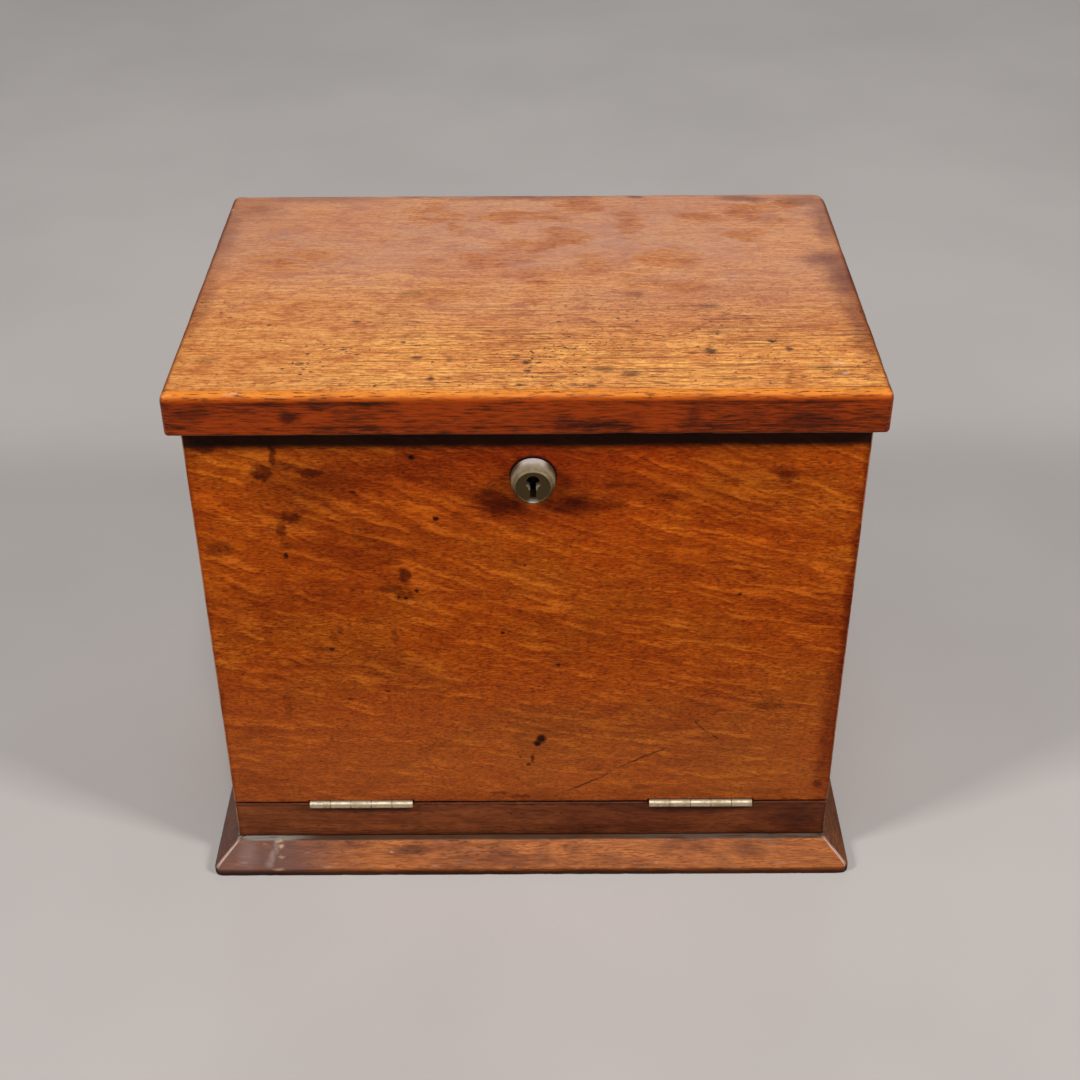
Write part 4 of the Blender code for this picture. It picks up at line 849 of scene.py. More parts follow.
def lay_fall_wear(oak):
    """The life of the front face: light and red areas, blooms, ink, holes and scratches, with painted
    shadows round the nozzle and under the lid.
    """
    lay_marks(oak, "XZ", FALL_LIGHTS, (1.24, 1.20, 1.05), soft=0.9, reach=12.0, per_mm=0.06)
    lay_marks(oak, "XZ", FALL_REDS, (0.77, 0.49, 0.54), soft=0.9, reach=10.0, per_mm=0.08)
    low = oak.fade(oak.at["Z"], 0.0, -100.0, 0.0, 0.24)
    oak.tint(low, (0.47, 0.158, 0.045), "MIX")
    lay_specks(oak, 0.6, (0.45, 0.60, 0.60), cut=0.83)
    lay_marks(oak, "XZ", FALL_BLOOMS_AND_SHADE, (0.40, 0.24, 0.24), soft=0.8, reach=9.0, per_mm=0.11)
    lay_marks(oak, "XZ", NOZZLE_SHADOWS, (0.30, 0.18, 0.18), soft=0.8, reach=5.0, per_mm=0.2)
    lay_marks(oak, "XZ", FALL_STAINS, (0.26, 0.17, 0.20), soft=0.4, reach=5.0, per_mm=0.34)
    lay_marks(oak, "XZ", FALL_HOLES, (0.07, 0.05, 0.06), soft=0.45, reach=1.2, per_mm=0.7)
    lay_marks(oak, "XZ", NOZZLE_SHADOW_RING, (0.06, 0.05, 0.06), soft=0.06, reach=0.6, per_mm=0.3)
    for points in FALL_SCRATCHES:
        lay_scratch(oak, "XZ", points, width=0.75, share=0.8)
    lay_under_lid_shadow(oak)


def fall_finish():
    oak = Oak("oak_fall", "fall_front", "X", "Z", (5.0, 41.0, 9.0))
    lay_fall_wood(oak)
    oak.only = oak.fade(oak.at["Y"], 0.0, 1.0 - oak.half.y)
    lay_fall_wear(oak)
    oak.only = None
    lay_edges(oak, (0.40, 0.26, 0.26), 0.65, (0.62, 0.15, 0.02), 0.30, reach=2.6, arris=0.6)
    lay_side_highlights(oak, 0.7)
    rough = oak.math("MULTIPLY_ADD", oak.flecks, -0.06, 0.44)
    return oak.finish_board(rough, 0.18, Specular_IOR_Level=0.08)


# %% The fall and the rail
# Stains, and painted shade under the two hinge knuckles, along the joint with the fall and along the
# rail's foot
RAIL_STAINS_AND_SHADE = (
    (134.0, 26.0, 12.0, 9.0, 0.85), (40.0, 18.0, 60.0, 3.0, 0.5), (-132.0, 21.0, 9.0, 4.0, 0.5),
    (-83.4, 32.0, 27.0, 2.2, 0.8), (83.4, 32.0, 27.0, 2.2, 0.8), (0.0, 35.7, 150.0, 0.9, 0.8),
    (-60.0, 16.5, 90.0, 2.4, 0.5),
)


def rail_finish():
    oak = Oak("oak_rail", "front_rail", "X", "Z", (77.0, 3.0, 21.0))
    lay_growth(oak, (0.135, 0.029, 0.007), (0.275, 0.070, 0.018), length=9.0)
    lay_flecks(oak, (0.32, 0.085, 0.022), 0.5, (0.10, 0.20))
    lay_pores(oak, (0.050, 0.012, 0.005), 0.6, cut=0.55, length=3.5)
    lay_patina(oak, (0.50, 0.40, 0.42), 0.7)
    lay_marks(oak, "XZ", RAIL_STAINS_AND_SHADE, (0.36, 0.32, 0.36), soft=0.8, reach=5.0, per_mm=0.2)
    lay_edges(oak, (0.36, 0.30, 0.30), 0.8, (0.40, 0.12, 0.03), 0.1, reach=3.0, arris=0.6)
    lay_side_highlights(oak, 0.6)
    return oak.finish_board(0.42, 0.20, bump=0.4, Specular_IOR_Level=0.15)


fall_shape = merged_copy("fall_front")
soften(fall_shape, width=0.25)
score_across(fall_shape, "X", pitch=5.0)
score_across(fall_shape, "Z", pitch=5.0)
press_arrises(fall_shape, depth=0.25, reach=1.2, lumps=8.0, seed=7.7)
fall = finished_piece("fall_front_finish", fall_shape, "fall", "oak_front", fall_finish(),
                      "fall_front")
rail_shape = merged_copy("front_rail")
soften(rail_shape, width=0.25)
rail = finished_piece("front_rail_finish", rail_shape, "case", "oak_front", rail_finish(),
                      "front_rail")
print("fall", len(fall.data.polygons), "faces, rail", len(rail.data.polygons))

# %% [markdown]
# ## The plinth
# The plinth stands lowest, so it takes knocks and gathers dust: grey dust on its flat ledge, which
# is also painted dark as shade, a painted purple-grey sheen on the chamfer, pale chips, and a
# painted highlight along each mitre. The front length runs left to right and the two side lengths
# front to back, so each has its own grain.
# Years of knocks have worn the chamfer wider than it was planed, which leaves a narrower ledge
# above it and a lower foot, so those two arrises are moved before the edges are softened. Its
# front corners are knocked round.

# %% Plinth wear
PLINTH_ALONG = {"plinth_front": "X", "plinth_left": "Y", "plinth_right": "Y", "plinth_back": "X"}
PLINTH_LOW, PLINTH_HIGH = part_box("plinth_front")
PLINTH_FRONT = -PLINTH_LOW.y / MM
PLINTH_HALF = PLINTH_HIGH.x / MM
CHAMFER_REACH = 15.0 * MM
LEDGE_LOST = 2.0 * MM
FASCIA_LOST = 0.9 * MM
FOOT_ROUND = 4.0 * MM


def widen_chamfer(shape):
    """Takes the chamfer's upper arris in and its lower one down; the mitres keep to 45 degrees."""
    top = max(vert.co.z for vert in shape.verts)
    for vert in shape.verts:
        if vert.co.z > top - WELD:
            if vert.co.y - PLINTH_LOW.y < CHAMFER_REACH:
                vert.co.y += LEDGE_LOST
            if PLINTH_HIGH.x - abs(vert.co.x) < CHAMFER_REACH:
                vert.co.x -= math.copysign(LEDGE_LOST, vert.co.x)
        elif vert.co.z > WELD:
            vert.co.z -= FASCIA_LOST


def lay_mitre(oak, x, level, cloud):
    """The mitre's arris: as far in from the front as from the end, with a pale painted highlight."""
    front = oak.math("ADD", oak.at["Y"], oak.middle.y + PLINTH_FRONT)
    outer = oak.math("SUBTRACT", PLINTH_HALF, oak.math("ABSOLUTE", x))
    apart = oak.math("ABSOLUTE", oak.math("SUBTRACT", front, outer))
    hip = oak.times(oak.fade(apart, 1.3, 0.4), oak.fade(front, 12.6, 11.4),
                    oak.fade(level, 3.6, 5.4), oak.fade(cloud, 0.35, 0.55, 0.45, 0.95))
    oak.tint(hip, (0.68, 0.46, 0.38), "MIX")


def lay_plinth_wear(oak):
    """A painted grey sheen to the left, a dark foot, a ledge with dust and painted shade, and a mitre
    with a painted highlight.
    """
    x = oak.math("ADD", oak.at["X"], oak.middle.x)
    left = oak.fade(x, -70.0, -135.0)
    cloud = oak.noise(oak.place, (0.03, 0.1, 0.1), 4.0, 0.6)
    painted_sheen = oak.times(left, oak.fade(cloud, 0.30, 0.60, 0.35, 0.85))
    oak.tint(painted_sheen, (0.112, 0.060, 0.052), "MIX")
    scuffs = oak.fade(oak.noise(oak.place, (0.10, 0.45, 0.45), 4.0, 0.7), 0.60, 0.68)
    oak.tint(oak.times(scuffs, 0.35), (0.32, 0.20, 0.15), "MIX")
    level = oak.math("ADD", oak.at["Z"], oak.half.z)
    foot = oak.fade(oak.math("MULTIPLY_ADD", cloud, 2.0, level), 6.2, 2.6, 0.0, 0.95)
    oak.tint(foot, (0.13, 0.075, 0.055))
    # The flat ledge is painted nearly black as shade, and grey dust lies over it
    ledge = oak.times(oak.fade(oak.inward["Z"], 0.5, 0.1), oak.fade(oak.at["Z"], -1.0, 1.0))
    oak.tint(oak.times(ledge, 0.92), (0.052, 0.025, 0.015), "MIX")
    grit = oak.fade(oak.noise(oak.place, (0.06, 0.5, 0.5), 4.0), 0.36, 0.60)
    far_left = oak.fade(x, -104.0, -125.0, 0.03, 0.6)
    right = oak.fade(x, 25.0, 90.0, 0.0, 0.12)
    dust = oak.times(ledge, grit, oak.math("ADD", far_left, right))
    oak.tint(dust, (0.33, 0.30, 0.265), "MIX")
    lay_mitre(oak, x, level, cloud)


# %% Plinth finish
PLINTH_CHIPS = (
    (-125.6, 13.2, 1.8, 0.35, 0.65), (-124.6, 11.6, 1.1, 0.55, 0.75), (-124.3, 8.2, 1.5, 0.35, 0.4),
    (-125.5, 4.0, 2.6, 0.5, 0.5), (-69.5, 9.6, 0.9, 0.3, 0.5), (-101.0, 5.0, 2.4, 0.35, 0.25),
    (62.0, 6.0, 1.2, 0.35, 0.25), (-48.0, 5.2, 2.0, 0.3, 0.25),
)
PLINTH_SMEARS = (
    (-127.0, 11.0, 1.3, 1.8, 0.30), (-128.6, 8.6, 1.4, 2.0, 0.32), (-130.0, 6.2, 1.6, 1.6, 0.28),
    (-141.0, 9.0, 4.0, 4.0, 0.15),
)
PLINTH_STAINS = (
    (-62.0, 10.4, 10.0, 1.5, 0.75), (-15.0, 10.0, 7.0, 3.0, 0.4), (6.0, 8.0, 4.0, 3.0, 0.4),
    (21.0, 11.0, 5.0, 2.0, 0.5), (38.0, 7.0, 7.0, 3.0, 0.35), (95.0, 6.0, 4.0, 3.0, 0.5),
    (108.0, 10.5, 8.0, 2.6, 0.6), (118.0, 12.5, 9.0, 1.2, 0.5), (-38.0, 6.0, 9.0, 3.0, 0.35),
    (70.0, 12.0, 5.0, 1.6, 0.4), (-90.0, 12.0, 14.0, 1.6, 0.35),
)


def plinth_finish(node, along, shift):
    oak = Oak("oak_" + node, node, along, "Z", shift)
    lay_growth(oak, (0.22, 0.055, 0.010), (0.46, 0.140, 0.030), length=9.0)
    lay_flecks(oak, (0.54, 0.170, 0.038), 0.4, (0.05, 0.12))
    lay_pores(oak, (0.10, 0.025, 0.008), 0.6, cut=0.55, length=3.0, width=0.6)
    lay_patina(oak, (0.50, 0.42, 0.46), 0.7, (0.02, 0.06, 0.06))
    # The side and back lengths get painted shade with a purple-grey painted sheen, darker and bluer
    if node != "plinth_front":
        oak.tint(1.0, (0.46, 0.52, 0.80))
    lay_edges(oak, (0.50, 0.42, 0.44), 0.4, (0.50, 0.19, 0.075), 0.5, reach=2.0, arris=0.7)
    lay_plinth_wear(oak)
    if node == "plinth_front":
        lay_marks(oak, "XZ", PLINTH_STAINS, (0.34, 0.32, 0.40), soft=0.7, reach=3.0, per_mm=0.25)
        lay_marks(oak, "XZ", PLINTH_SMEARS, (0.42, 0.33, 0.30), soft=0.9, reach=3.0, per_mm=0.3,
                  mode="MIX")
        lay_marks(oak, "XZ", PLINTH_CHIPS, (0.56, 0.36, 0.22), soft=0.8, reach=1.2, per_mm=0.6,
                  mode="MIX")
    return oak.finish_board(0.42, 0.20, Specular_IOR_Level=0.12)


# %% Plinth lengths
for number, (node, along) in enumerate(PLINTH_ALONG.items()):
    plinth_shape = merged_copy(node)
    widen_chamfer(plinth_shape)
    soften(plinth_shape, width=0.45)
    score_across(plinth_shape, along, pitch=2.0)
    press_arrises(plinth_shape, depth=0.4, reach=1.5, lumps=8.0, seed=1.7 + number)
    for x in (PLINTH_LOW.x, PLINTH_HIGH.x):
        round_corner(plinth_shape, Vector((x, PLINTH_LOW.y, 0.0)), FOOT_ROUND)
    finish = plinth_finish(node, along, (53.0 * number, 11.0 * number, 7.0))
    finished_piece(node + "_finish", plinth_shape, "case", "oak_plinth", finish, node)
print("plinth of", len(PLINTH_ALONG), "lengths")

# %% [markdown]
# ## The carcass
# The sides and back are the same oak with the grain upright, as a joiner would stand it. Less
# handled than the front, they are a little darker and plainer, with grime towards their edges
# and rubbing on the arrises.

# %% Carcass
CARCASS = {"side_left": ("Z", "Y", 13.0), "side_right": ("Z", "Y", 29.0),
           "back_panel": ("Z", "X", 47.0)}


def carcass_finish(node, along, across, shift):
    oak = Oak("oak_" + node, node, along, across, (shift, shift * 0.6, shift * 1.7))
    lay_growth(oak, (0.24, 0.050, 0.009), (0.46, 0.115, 0.022))
    lay_flecks(oak, (0.60, 0.18, 0.04), 0.6, (0.10, 0.22))
    lay_pores(oak, (0.07, 0.015, 0.005), 0.75)
    lay_patina(oak, (0.58, 0.44, 0.42), 0.6)
    lay_edges(oak, (0.50, 0.38, 0.36), 0.6, (0.55, 0.16, 0.035), 0.5, reach=8.0, arris=0.8)
    return oak.finish_board(0.44, 0.18, Specular_IOR_Level=0.2)


for node, (along, across, shift) in CARCASS.items():
    board = merged_copy(node)
    soften(board, width=0.4)
    finish = carcass_finish(node, along, across, shift)
    finished_piece(node + "_finish", board, "case", "oak_case", finish, node)
print("carcass of", len(CARCASS), "boards")

# %% [markdown]
# ## Inside: floor, letter rack and pen tray
# Inside, the oak was never polished, so it stayed paler and dry, with ink spilt round the wells.
# The thin rack boards have their grain left to right; the partitions stand upright.

# %% Inside boards
INSIDE = {"base_board": ("X", "Y"), "rack_front": ("X", "Z"), "rack_middle": ("X", "Z"),
          "rack_back": ("X", "Z"), "rack_cross_left": ("Z", "Y"), "rack_cross_right": ("Z", "Y"),
          "pen_tray": ("X", "Y")}
TRAY_INK = ((-112.0, -47.0, 9.0, 4.0, 0.6), (-96.0, -62.0, 5.0, 6.0, 0.7),
            (98.0, -66.0, 4.0, 7.0, 0.6), (20.0, -60.0, 14.0, 5.0, 0.35))


def inside_finish(node, along, across, shift):
    oak = Oak("oak_" + node, node, along, across, (shift, shift * 1.3, shift * 0.4))
    lay_growth(oak, (0.36, 0.148, 0.045), (0.55, 0.262, 0.088))
    lay_flecks(oak, (0.62, 0.325, 0.122), 0.5, (0.08, 0.18))
    lay_pores(oak, (0.14, 0.062, 0.026), 0.7)
    lay_patina(oak, (0.66, 0.56, 0.48), 0.6)
    lay_edges(oak, (0.60, 0.48, 0.40), 0.6, (0.52, 0.275, 0.105), 0.4, reach=6.0, arris=0.6)
    if node == "pen_tray":
        lay_marks(oak, "XY", TRAY_INK, (0.10, 0.10, 0.16), soft=0.6, reach=5.0, per_mm=0.2)
    return oak.finish_board(0.58, 0.15)


for number, (node, (along, across)) in enumerate(INSIDE.items()):
    board = merged_copy(node)
    soften(board, width=0.3)
    finish = inside_finish(node, along, across, 19.0 + 23.0 * number)
    finished_piece(node + "_finish", board, "case", "oak_inside", finish, node)
print("inside of", len(INSIDE), "boards")

# %% [markdown]
# ## Brass
# The hinges, lock and caps are cast and filed brass. Old brass is bright only where it is
# rubbed: elsewhere it has a brown skin that is duller and rougher. The skin is a cloud of noise
# with small spots in it, and the relief holds fine scratches. The nozzle has a finish of its own:
# the light on the top of its dome and the shade on its flanks and low side are painted into its
# colour, and keys have rubbed it at the keyhole, where glints are painted too.

# %% Brass finish
def brass_finish(name, bright, skin, skin_share, rough=0.30):
    w = Wiring(name)
    place = w.millimetres()
    cloud = w.fade(w.noise(place, (0.22, 0.22, 0.22), 4.0, 0.6), 0.40, 0.66)
    spots = w.fade(w.noise(place, (1.3, 1.3, 1.3), 3.0, 0.6), 0.58, 0.68)
    tarnish = w.times(w.math("MAXIMUM", cloud, spots), skin_share)
    scratches = w.noise(place, (0.5, 7.0, 7.0), 2.0, 0.6)
    colour = w.blend(tarnish, bright, skin)
    gloss = w.math("MULTIPLY_ADD", tarnish, 0.25, rough)
    gloss = w.math("MULTIPLY_ADD", scratches, 0.12, gloss)
    return w.finish(colour, gloss, scratches, bump=0.25, deep=0.03, Metallic=1.0)


HINGE_BRASS = brass_finish("brass_hinge", (0.68, 0.58, 0.42), (0.32, 0.24, 0.13), 0.6, 0.42)
LOCK_BRASS = brass_finish("brass_lock", (0.66, 0.50, 0.24), (0.26, 0.17, 0.07), 0.65)
CAP_BRASS = brass_finish("brass_cap", (0.74, 0.55, 0.25), (0.32, 0.21, 0.08), 0.45)
print("brass for the hinges, the lock and the caps")

# %% Hinges, lock and caps
# Rounds of the filed edges, in millimetres
HINGE_ROUND = 0.12
LOCK_ROUND = 0.15
CAP_ROUND = 0.20
BRASS_NODES = {}
for body, nodes in frame["record"]["behaviour"]["bodies"].items():
    for node in nodes:
        if "hinge" in node:
            BRASS_NODES[node] = (body, HINGE_BRASS, HINGE_ROUND)
        elif node.startswith("lock_") or node == "link_plate":
            BRASS_NODES[node] = (body, LOCK_BRASS, LOCK_ROUND)
        elif node.startswith("inkwell_cap"):
            BRASS_NODES[node] = (body, CAP_BRASS, CAP_ROUND)
print(len(BRASS_NODES), "brass pieces to make")

# %% Nozzle finish
# The keyhole, in millimetres from the middle of the nozzle
KEY_EYE = 2.9
KEY_EYE_RADIUS = 2.8
KEY_SLOT_HALF = 1.25
KEY_SLOT_END = -5.1


def key_rubbing_and_glints(w, x, z, cloud):
    """Where keys scraped the face bright at the keyhole's shoulders, with painted glints, and a
    painted highlight below its end.
    """
    above_eye = w.math("SUBTRACT", z, KEY_EYE)
    eye = w.math("SUBTRACT", w.vector("LENGTH", w.join(x, 0.0, above_eye)), KEY_EYE_RADIUS)
    slot = w.math("SUBTRACT", w.math("ABSOLUTE", x), KEY_SLOT_HALF)
    slot = w.math("MAXIMUM", slot, w.math("SUBTRACT", KEY_SLOT_END, z))
    key = w.math("MINIMUM", eye, w.math("MAXIMUM", slot, above_eye))
    shoulder = w.times(w.fade(z, -1.6, -0.8), w.fade(z, 2.0, 1.0), w.fade(key, 1.0, 0.4))
    # The scallop is a painted highlight on the rim below the slot's end
    scallop = w.times(w.fade(z, -5.2, -6.6), w.fade(w.math("ABSOLUTE", x), 3.0, 0.6))
    return w.times(w.math("MAXIMUM", shoulder, scallop), w.fade(cloud, 0.34, 0.54, 0.25, 0.65))


def nozzle_finish():
    """Pale on top where light falls, painted shade on the flanks and low side, browner towards the
    dark face, rubbed at the key.
    """
    low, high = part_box("lock_nozzle")
    middle = (low + high) / 2 / MM
    w = Wiring("brass_nozzle")
    place = w.millimetres(middle)
    x, depth, z = w.split(place)
    cloud = w.noise(place, (0.5, 0.5, 0.5), 4.0, 0.6)
    behind = w.math("ADD", depth, middle.y - low.y / MM)
    behind = w.math("MULTIPLY_ADD", w.math("SUBTRACT", cloud, 0.5), 2.5, behind)
    # Pale on top, as painted light from above
    upper = w.fade(w.math("MULTIPLY_ADD", cloud, 2.0, z), 6.0, 10.2)
    colour = w.blend(upper, (0.34, 0.265, 0.165), (0.82, 0.76, 0.70))
    # Dark flanks, as painted shade
    flank = w.math("MULTIPLY_ADD", cloud, 2.0, w.math("ABSOLUTE", x))
    colour = w.blend(w.fade(flank, 4.8, 8.4, 0.0, 0.94), colour, (0.095, 0.068, 0.040))
    colour = w.blend(w.fade(behind, 6.6, 2.6), colour, (0.40, 0.32, 0.20))
    colour = w.blend(w.fade(behind, 3.2, 0.6, 0.0, 0.85), colour, (0.14, 0.095, 0.040))
    radius = w.vector("LENGTH", w.join(x, 0.0, z))
    face = w.fade(w.math("MULTIPLY_ADD", cloud, 1.2, radius), 8.4, 7.9, 0.0, 0.96)
    # The low side is dull and dark as painted shade
    foot = w.fade(w.math("MULTIPLY_ADD", cloud, 3.0, z), 3.6, -1.6, 0.0, 0.90)
    dull = w.math("MAXIMUM", face, foot)
    colour = w.blend(dull, colour, (0.075, 0.046, 0.017))
    colour = w.blend(key_rubbing_and_glints(w, x, z, cloud), colour, (0.46, 0.41, 0.36))
    gloss = w.math("MULTIPLY_ADD", cloud, 0.16, 0.46)
    metal = w.fade(dull, 0.0, 1.0, 0.5, 0.92)
    return w.finish(colour, gloss, cloud, bump=0.3, deep=0.05, Metallic=metal)


# %% The brass pieces
NOZZLE_BRASS = nozzle_finish()
for node, (body, material, round_edge) in BRASS_NODES.items():
    metal = merged_copy(node)
    soften(metal, round_edge)
    if node == "lock_nozzle":
        material = NOZZLE_BRASS
    finished_piece(node + "_finish", metal, body, "brass", material, node)
print(len(BRASS_NODES), "brass pieces")

# %% [markdown]
# ## Screws
# Each hinge leaf has three slotted brass screws, the lock plate four and the link plate two,
# all countersunk. They repeat, so Geometry Nodes makes them: one head is a short cone with a
# slot cut out, set on a point for each screw and turned to face out of its leaf, with the slot
# at a chance angle. The tree is realised into one plain mesh for each body.

# %% Screw head tree
def screw_tree():
    tree = bpy.data.node_groups.new("slotted_screws", "GeometryNodeTree")
    face = tree.interface
    face.new_socket("Geometry", in_out="INPUT", socket_type="NodeSocketGeometry")
    for name in ("Head radius", "Head depth", "Slot width", "Slot depth"):
        face.new_socket(name, in_out="INPUT", socket_type="NodeSocketFloat")
    face.new_socket("Seed", in_out="INPUT", socket_type="NodeSocketInt")
    face.new_socket("Finish", in_out="INPUT", socket_type="NodeSocketMaterial")
    face.new_socket("Geometry", in_out="OUTPUT", socket_type="NodeSocketGeometry")

    def add(kind, inputs=(), **settings):
        made = tree.nodes.new(kind)
        for name, value in settings.items():
            setattr(made, name, value)
        for key, value in dict(inputs).items():
            if isinstance(value, bpy.types.NodeSocket):
                tree.links.new(value, made.inputs[key])
            else:
                made.inputs[key].default_value = value
        return made

    given = add("NodeGroupInput").outputs
    head = add("GeometryNodeMeshCone", {
        "Vertices": 28, "Radius Top": given["Head radius"], "Radius Bottom": 0.5 * MM,
        "Depth": given["Head depth"]})
    down = add("ShaderNodeMath", {0: given["Head depth"], 1: -1.0}, operation="MULTIPLY")
    sunk = add("ShaderNodeCombineXYZ", {"Z": down.outputs[0]})
    head = add("GeometryNodeTransform", {"Geometry": head.outputs["Mesh"],
                                         "Translation": sunk.outputs[0]})
    long = add("ShaderNodeMath", {0: given["Head radius"], 1: 4.0}, operation="MULTIPLY")
    twice = add("ShaderNodeMath", {0: given["Slot depth"], 1: 2.0}, operation="MULTIPLY")
    size = add("ShaderNodeCombineXYZ", {"X": long.outputs[0], "Y": given["Slot width"],
                                        "Z": twice.outputs[0]})
    slot = add("GeometryNodeMeshCube", {"Size": size.outputs[0]})
    slotted = add("GeometryNodeMeshBoolean", operation="DIFFERENCE", solver="EXACT")
    tree.links.new(head.outputs[0], slotted.inputs["Mesh 1"])
    tree.links.new(slot.outputs["Mesh"], slotted.inputs["Mesh 2"])
    facing = add("GeometryNodeInputNamedAttribute", {"Name": "facing"},
                 data_type="FLOAT_VECTOR")
    upright = add("FunctionNodeAlignRotationToVector", {"Vector": facing.outputs[0]}, axis="Z")
    chance = add("FunctionNodeRandomValue", {"Seed": given["Seed"]}, data_type="FLOAT")
    angle = add("ShaderNodeMath", {0: chance.outputs[1], 1: math.pi}, operation="MULTIPLY")
    spin = add("FunctionNodeAxisAngleToRotation", {"Axis": (0, 0, 1), "Angle": angle.outputs[0]})
    turned = add("FunctionNodeRotateRotation", {"Rotation": upright.outputs[0],
                                                "Rotate By": spin.outputs[0]},
                 rotation_space="LOCAL")
    set_on = add("GeometryNodeInstanceOnPoints", {
        "Points": given["Geometry"], "Instance": slotted.outputs["Mesh"],
        "Rotation": turned.outputs[0]})
    plain = add("GeometryNodeRealizeInstances", {"Geometry": set_on.outputs[0]})
    brassy = add("GeometryNodeSetMaterial", {"Geometry": plain.outputs[0],
                                             "Material": given["Finish"]})
    add("NodeGroupOutput", {"Geometry": brassy.outputs[0]})
    return tree


SCREW_TREE = screw_tree()
print("screw tree of", len(SCREW_TREE.nodes), "nodes")

# %% Screw places
SCREW_PITCH = 18.0 * MM
SCREW_LINE = 6.0 * MM
LEAF_FACE = 0.2 * MM
PLATE_SCREW_INSET = 2.7 * MM
PLATE_SCREW_TOP = 12.0 * MM
PLATE_SCREW_LOW = 7.0 * MM
LINK_SCREW_INSET = 4.5 * MM
LEAF_SIDES = {"fall": 1, "lid": -1}
screw_seats = {"case": [], "fall": [], "lid": []}
for moving, reach in LEAF_SIDES.items():
    for side in ("left", "right"):
        low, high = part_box(f"{moving}_hinge_{side}_pin")
        axis = (low + high) / 2
        for step in (-1, 0, 1):
            x = axis.x + step * SCREW_PITCH
            y = axis.y + reach * SCREW_LINE
            screw_seats["case"].append(((x, y, axis.z - LEAF_FACE), (0, 0, 1)))
            screw_seats[moving].append(((x, y, axis.z + LEAF_FACE), (0, 0, -1)))
plate_low, plate_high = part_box("lock_plate")
fall_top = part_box("fall_front")[1].z
for x in (plate_low.x + PLATE_SCREW_INSET, plate_high.x - PLATE_SCREW_INSET):
    for z in (fall_top - PLATE_SCREW_TOP, plate_low.z + PLATE_SCREW_LOW):
        screw_seats["fall"].append(((x, plate_high.y, z), (0, 1, 0)))
link_low, link_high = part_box("link_plate")
lid_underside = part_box("lid_board")[0].z
for x in (link_low.x + LINK_SCREW_INSET, link_high.x - LINK_SCREW_INSET):
    place = (x, (link_low.y + link_high.y) / 2, lid_underside)
    screw_seats["lid"].append((place, (0, 0, -1)))
print("places for", sum(len(seats) for seats in screw_seats.values()), "screws")


def set_screws(body, seats, seed):
    points = bpy.data.meshes.new("screw_points")
    points.from_pydata([place for place, facing in seats], [], [])
    stored = points.attributes.new("facing", "FLOAT_VECTOR", "POINT")
    for number, (place, facing) in enumerate(seats):
        stored.data[number].vector = facing
    carrier = bpy.data.objects.new("screw_carrier", points)
    scene.collection.objects.link(carrier)
    nodes = carrier.modifiers.new("screws", "NODES")
    nodes.node_group = SCREW_TREE
    sizes = {"Head radius": 2.0 * MM, "Head depth": 1.8 * MM, "Slot width": 0.55 * MM,
             "Slot depth": 0.7 * MM, "Seed": seed, "Finish": LOCK_BRASS}
    for socket in SCREW_TREE.interface.items_tree:
        if socket.in_out == "INPUT" and socket.name in sizes:
            nodes[socket.identifier] = sizes[socket.name]
    seen = carrier.evaluated_get(bpy.context.evaluated_depsgraph_get())
    mesh = bpy.data.meshes.new_from_object(seen)
    bpy.data.objects.remove(carrier)
    mesh.name = f"{body}_screws"
    mesh.set_sharp_from_angle(angle=SMOOTH)
    piece = bpy.data.objects.new(f"{body}_screws", mesh)
    scene.collection.objects.link(piece)
    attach(piece, body)
    return piece


FIRST_SEED = 5
for seed, (body, seats) in enumerate(screw_seats.items(), FIRST_SEED):
    made = set_screws(body, seats, seed)
    print(len(seats), "screws on the", body, "with", len(made.data.polygons), "faces")

# %% [markdown]
# ## The writing leather
# The fall's inner face is let in with a thin green skiver, tooled with gilt lines and a row of
# small gilt beads between them, as such boxes usually were. It is a sheet, cut to its recess and
# laid in paste, so it is one thin closed board with a fine pebbled grain and worn, paler areas.

# %% Leather finish
# Each gilt line's distance from the rim and its half width
GILT_LINES = ((5.0, 0.55), (7.4, 0.25), (13.0, 0.25))
BEAD_LINE = 10.2
BEAD_STEP = 1.6
BEAD_RADIUS = 0.75


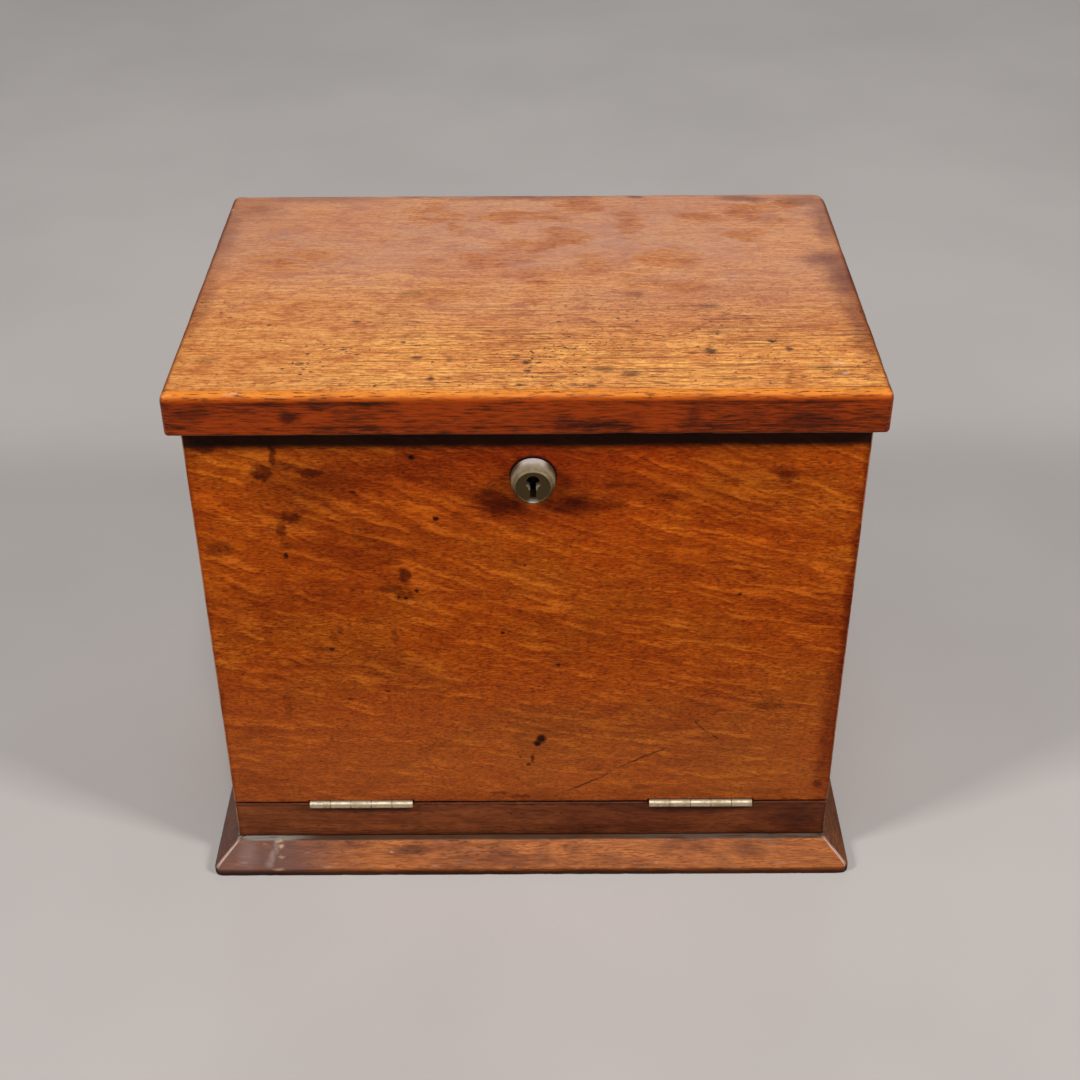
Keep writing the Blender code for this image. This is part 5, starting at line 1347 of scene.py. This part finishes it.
def leather_finish():
    low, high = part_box("writing_leather")
    middle = (low + high) / 2 / MM
    half = (high - low) / 2 / MM
    w = Wiring("green_leather")
    place = w.millimetres(middle)
    x, _, z = w.split(place)
    side = w.math("SUBTRACT", half.x, w.math("ABSOLUTE", x))
    end = w.math("SUBTRACT", half.z, w.math("ABSOLUTE", z))
    rim = w.math("MINIMUM", side, end)
    pebbles = w.node("TexVoronoi", {"Vector": place, "Scale": 1.5}).outputs["Distance"]
    cloud = w.noise(place, (0.02, 0.02, 0.02), 4.0, 0.6)
    worn = w.fade(cloud, 0.42, 0.68)
    colour = w.blend(worn, (0.020, 0.060, 0.030), (0.060, 0.105, 0.052))
    colour = w.blend(w.fade(pebbles, 0.1, 0.7, 0.0, 0.35), colour, (0.010, 0.028, 0.015))
    gilt = 0.0
    for line, width in GILT_LINES:
        away = w.math("ABSOLUTE", w.math("SUBTRACT", rim, line))
        gilt = w.math("MAXIMUM", gilt, w.fade(away, width, width * 0.5))
    along = w.math("PINGPONG", w.math("ADD", x, z), BEAD_STEP)
    along = w.math("SUBTRACT", along, BEAD_STEP / 2)
    bead = w.vector("LENGTH", w.join(along, w.math("SUBTRACT", rim, BEAD_LINE), 0.0))
    gilt = w.math("MAXIMUM", gilt, w.fade(bead, BEAD_RADIUS, 0.5))
    rubbed = w.fade(w.noise(place, (0.35, 0.35, 0.35), 4.0, 0.65), 0.36, 0.56)
    gilt = w.times(gilt, rubbed)
    colour = w.blend(gilt, colour, (0.60, 0.40, 0.12))
    height = w.math("MULTIPLY_ADD", gilt, -0.8, pebbles)
    gloss = w.math("MULTIPLY_ADD", gilt, -0.18, w.fade(worn, 0.0, 1.0, 0.56, 0.46))
    metal = w.times(gilt, 0.9)
    return w.finish(colour, gloss, height, bump=0.4, deep=0.08, Metallic=metal)


# %% The leather itself
low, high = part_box("writing_leather")
leather_shape = merged_copy("writing_leather")
soften(leather_shape, width=0.2)
score_across(leather_shape, "X", pitch=4.0)
score_across(leather_shape, "Z", pitch=4.0)
leather = finished_piece("writing_leather_finish", leather_shape, "fall", "leather",
                         leather_finish(), "writing_leather")

# %% [markdown]
# ## Ink bottles
# The square bottles are thick moulded glass with a little green in it. Glass only reads as glass
# with something behind and inside it, so each holds some dried blue-black ink, a block just
# clear of the inner walls.

# %% Glass and ink
def glass_finish():
    w = Wiring("moulded_glass")
    place = w.millimetres()
    ripple = w.noise(place, (0.18, 0.18, 0.10), 2.0)
    smear = w.fade(w.noise(place, (0.3, 0.3, 0.3), 4.0), 0.5, 0.7, 0.03, 0.12)
    return w.finish((0.86, 0.95, 0.92), smear, ripple, bump=0.15, deep=0.3,
                    Transmission_Weight=1.0, IOR=1.5)


def ink_finish():
    w = Wiring("blue_black_ink")
    place = w.millimetres()
    crust = w.noise(place, (0.4, 0.4, 0.4), 4.0, 0.6)
    colour = w.blend(w.fade(crust, 0.45, 0.65), (0.006, 0.008, 0.020), (0.022, 0.026, 0.050))
    return w.finish(colour, w.fade(crust, 0.4, 0.7, 0.12, 0.45), crust)


GLASS = glass_finish()
INK = ink_finish()
BOTTLE_WALL = 3.5 * MM
INK_CLEAR = 0.1 * MM
INK_HEIGHT = 13.0 * MM
for side in ("left", "right"):
    bottle = merged_copy("inkwell_" + side)
    soften(bottle, width=0.35)
    finished_piece(f"inkwell_{side}_finish", bottle, "ink_bottle_" + side, "glass", GLASS,
                   "inkwell_" + side)
    low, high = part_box("inkwell_" + side)
    inset = BOTTLE_WALL + INK_CLEAR
    foot = low + Vector((inset, inset, inset))
    top = Vector((high.x - inset, high.y - inset, foot.z + INK_HEIGHT))
    pool = bmesh.new()
    bmesh.ops.create_cube(pool, size=1.0)
    for vert in pool.verts:
        vert.co = Vector([foot[n] if vert.co[n] < 0 else top[n] for n in range(3)])
    soften(pool, width=0.6, steps=3)
    finished_piece("ink_" + side, pool, "ink_bottle_" + side, "glass", INK)
print("two bottles with ink")
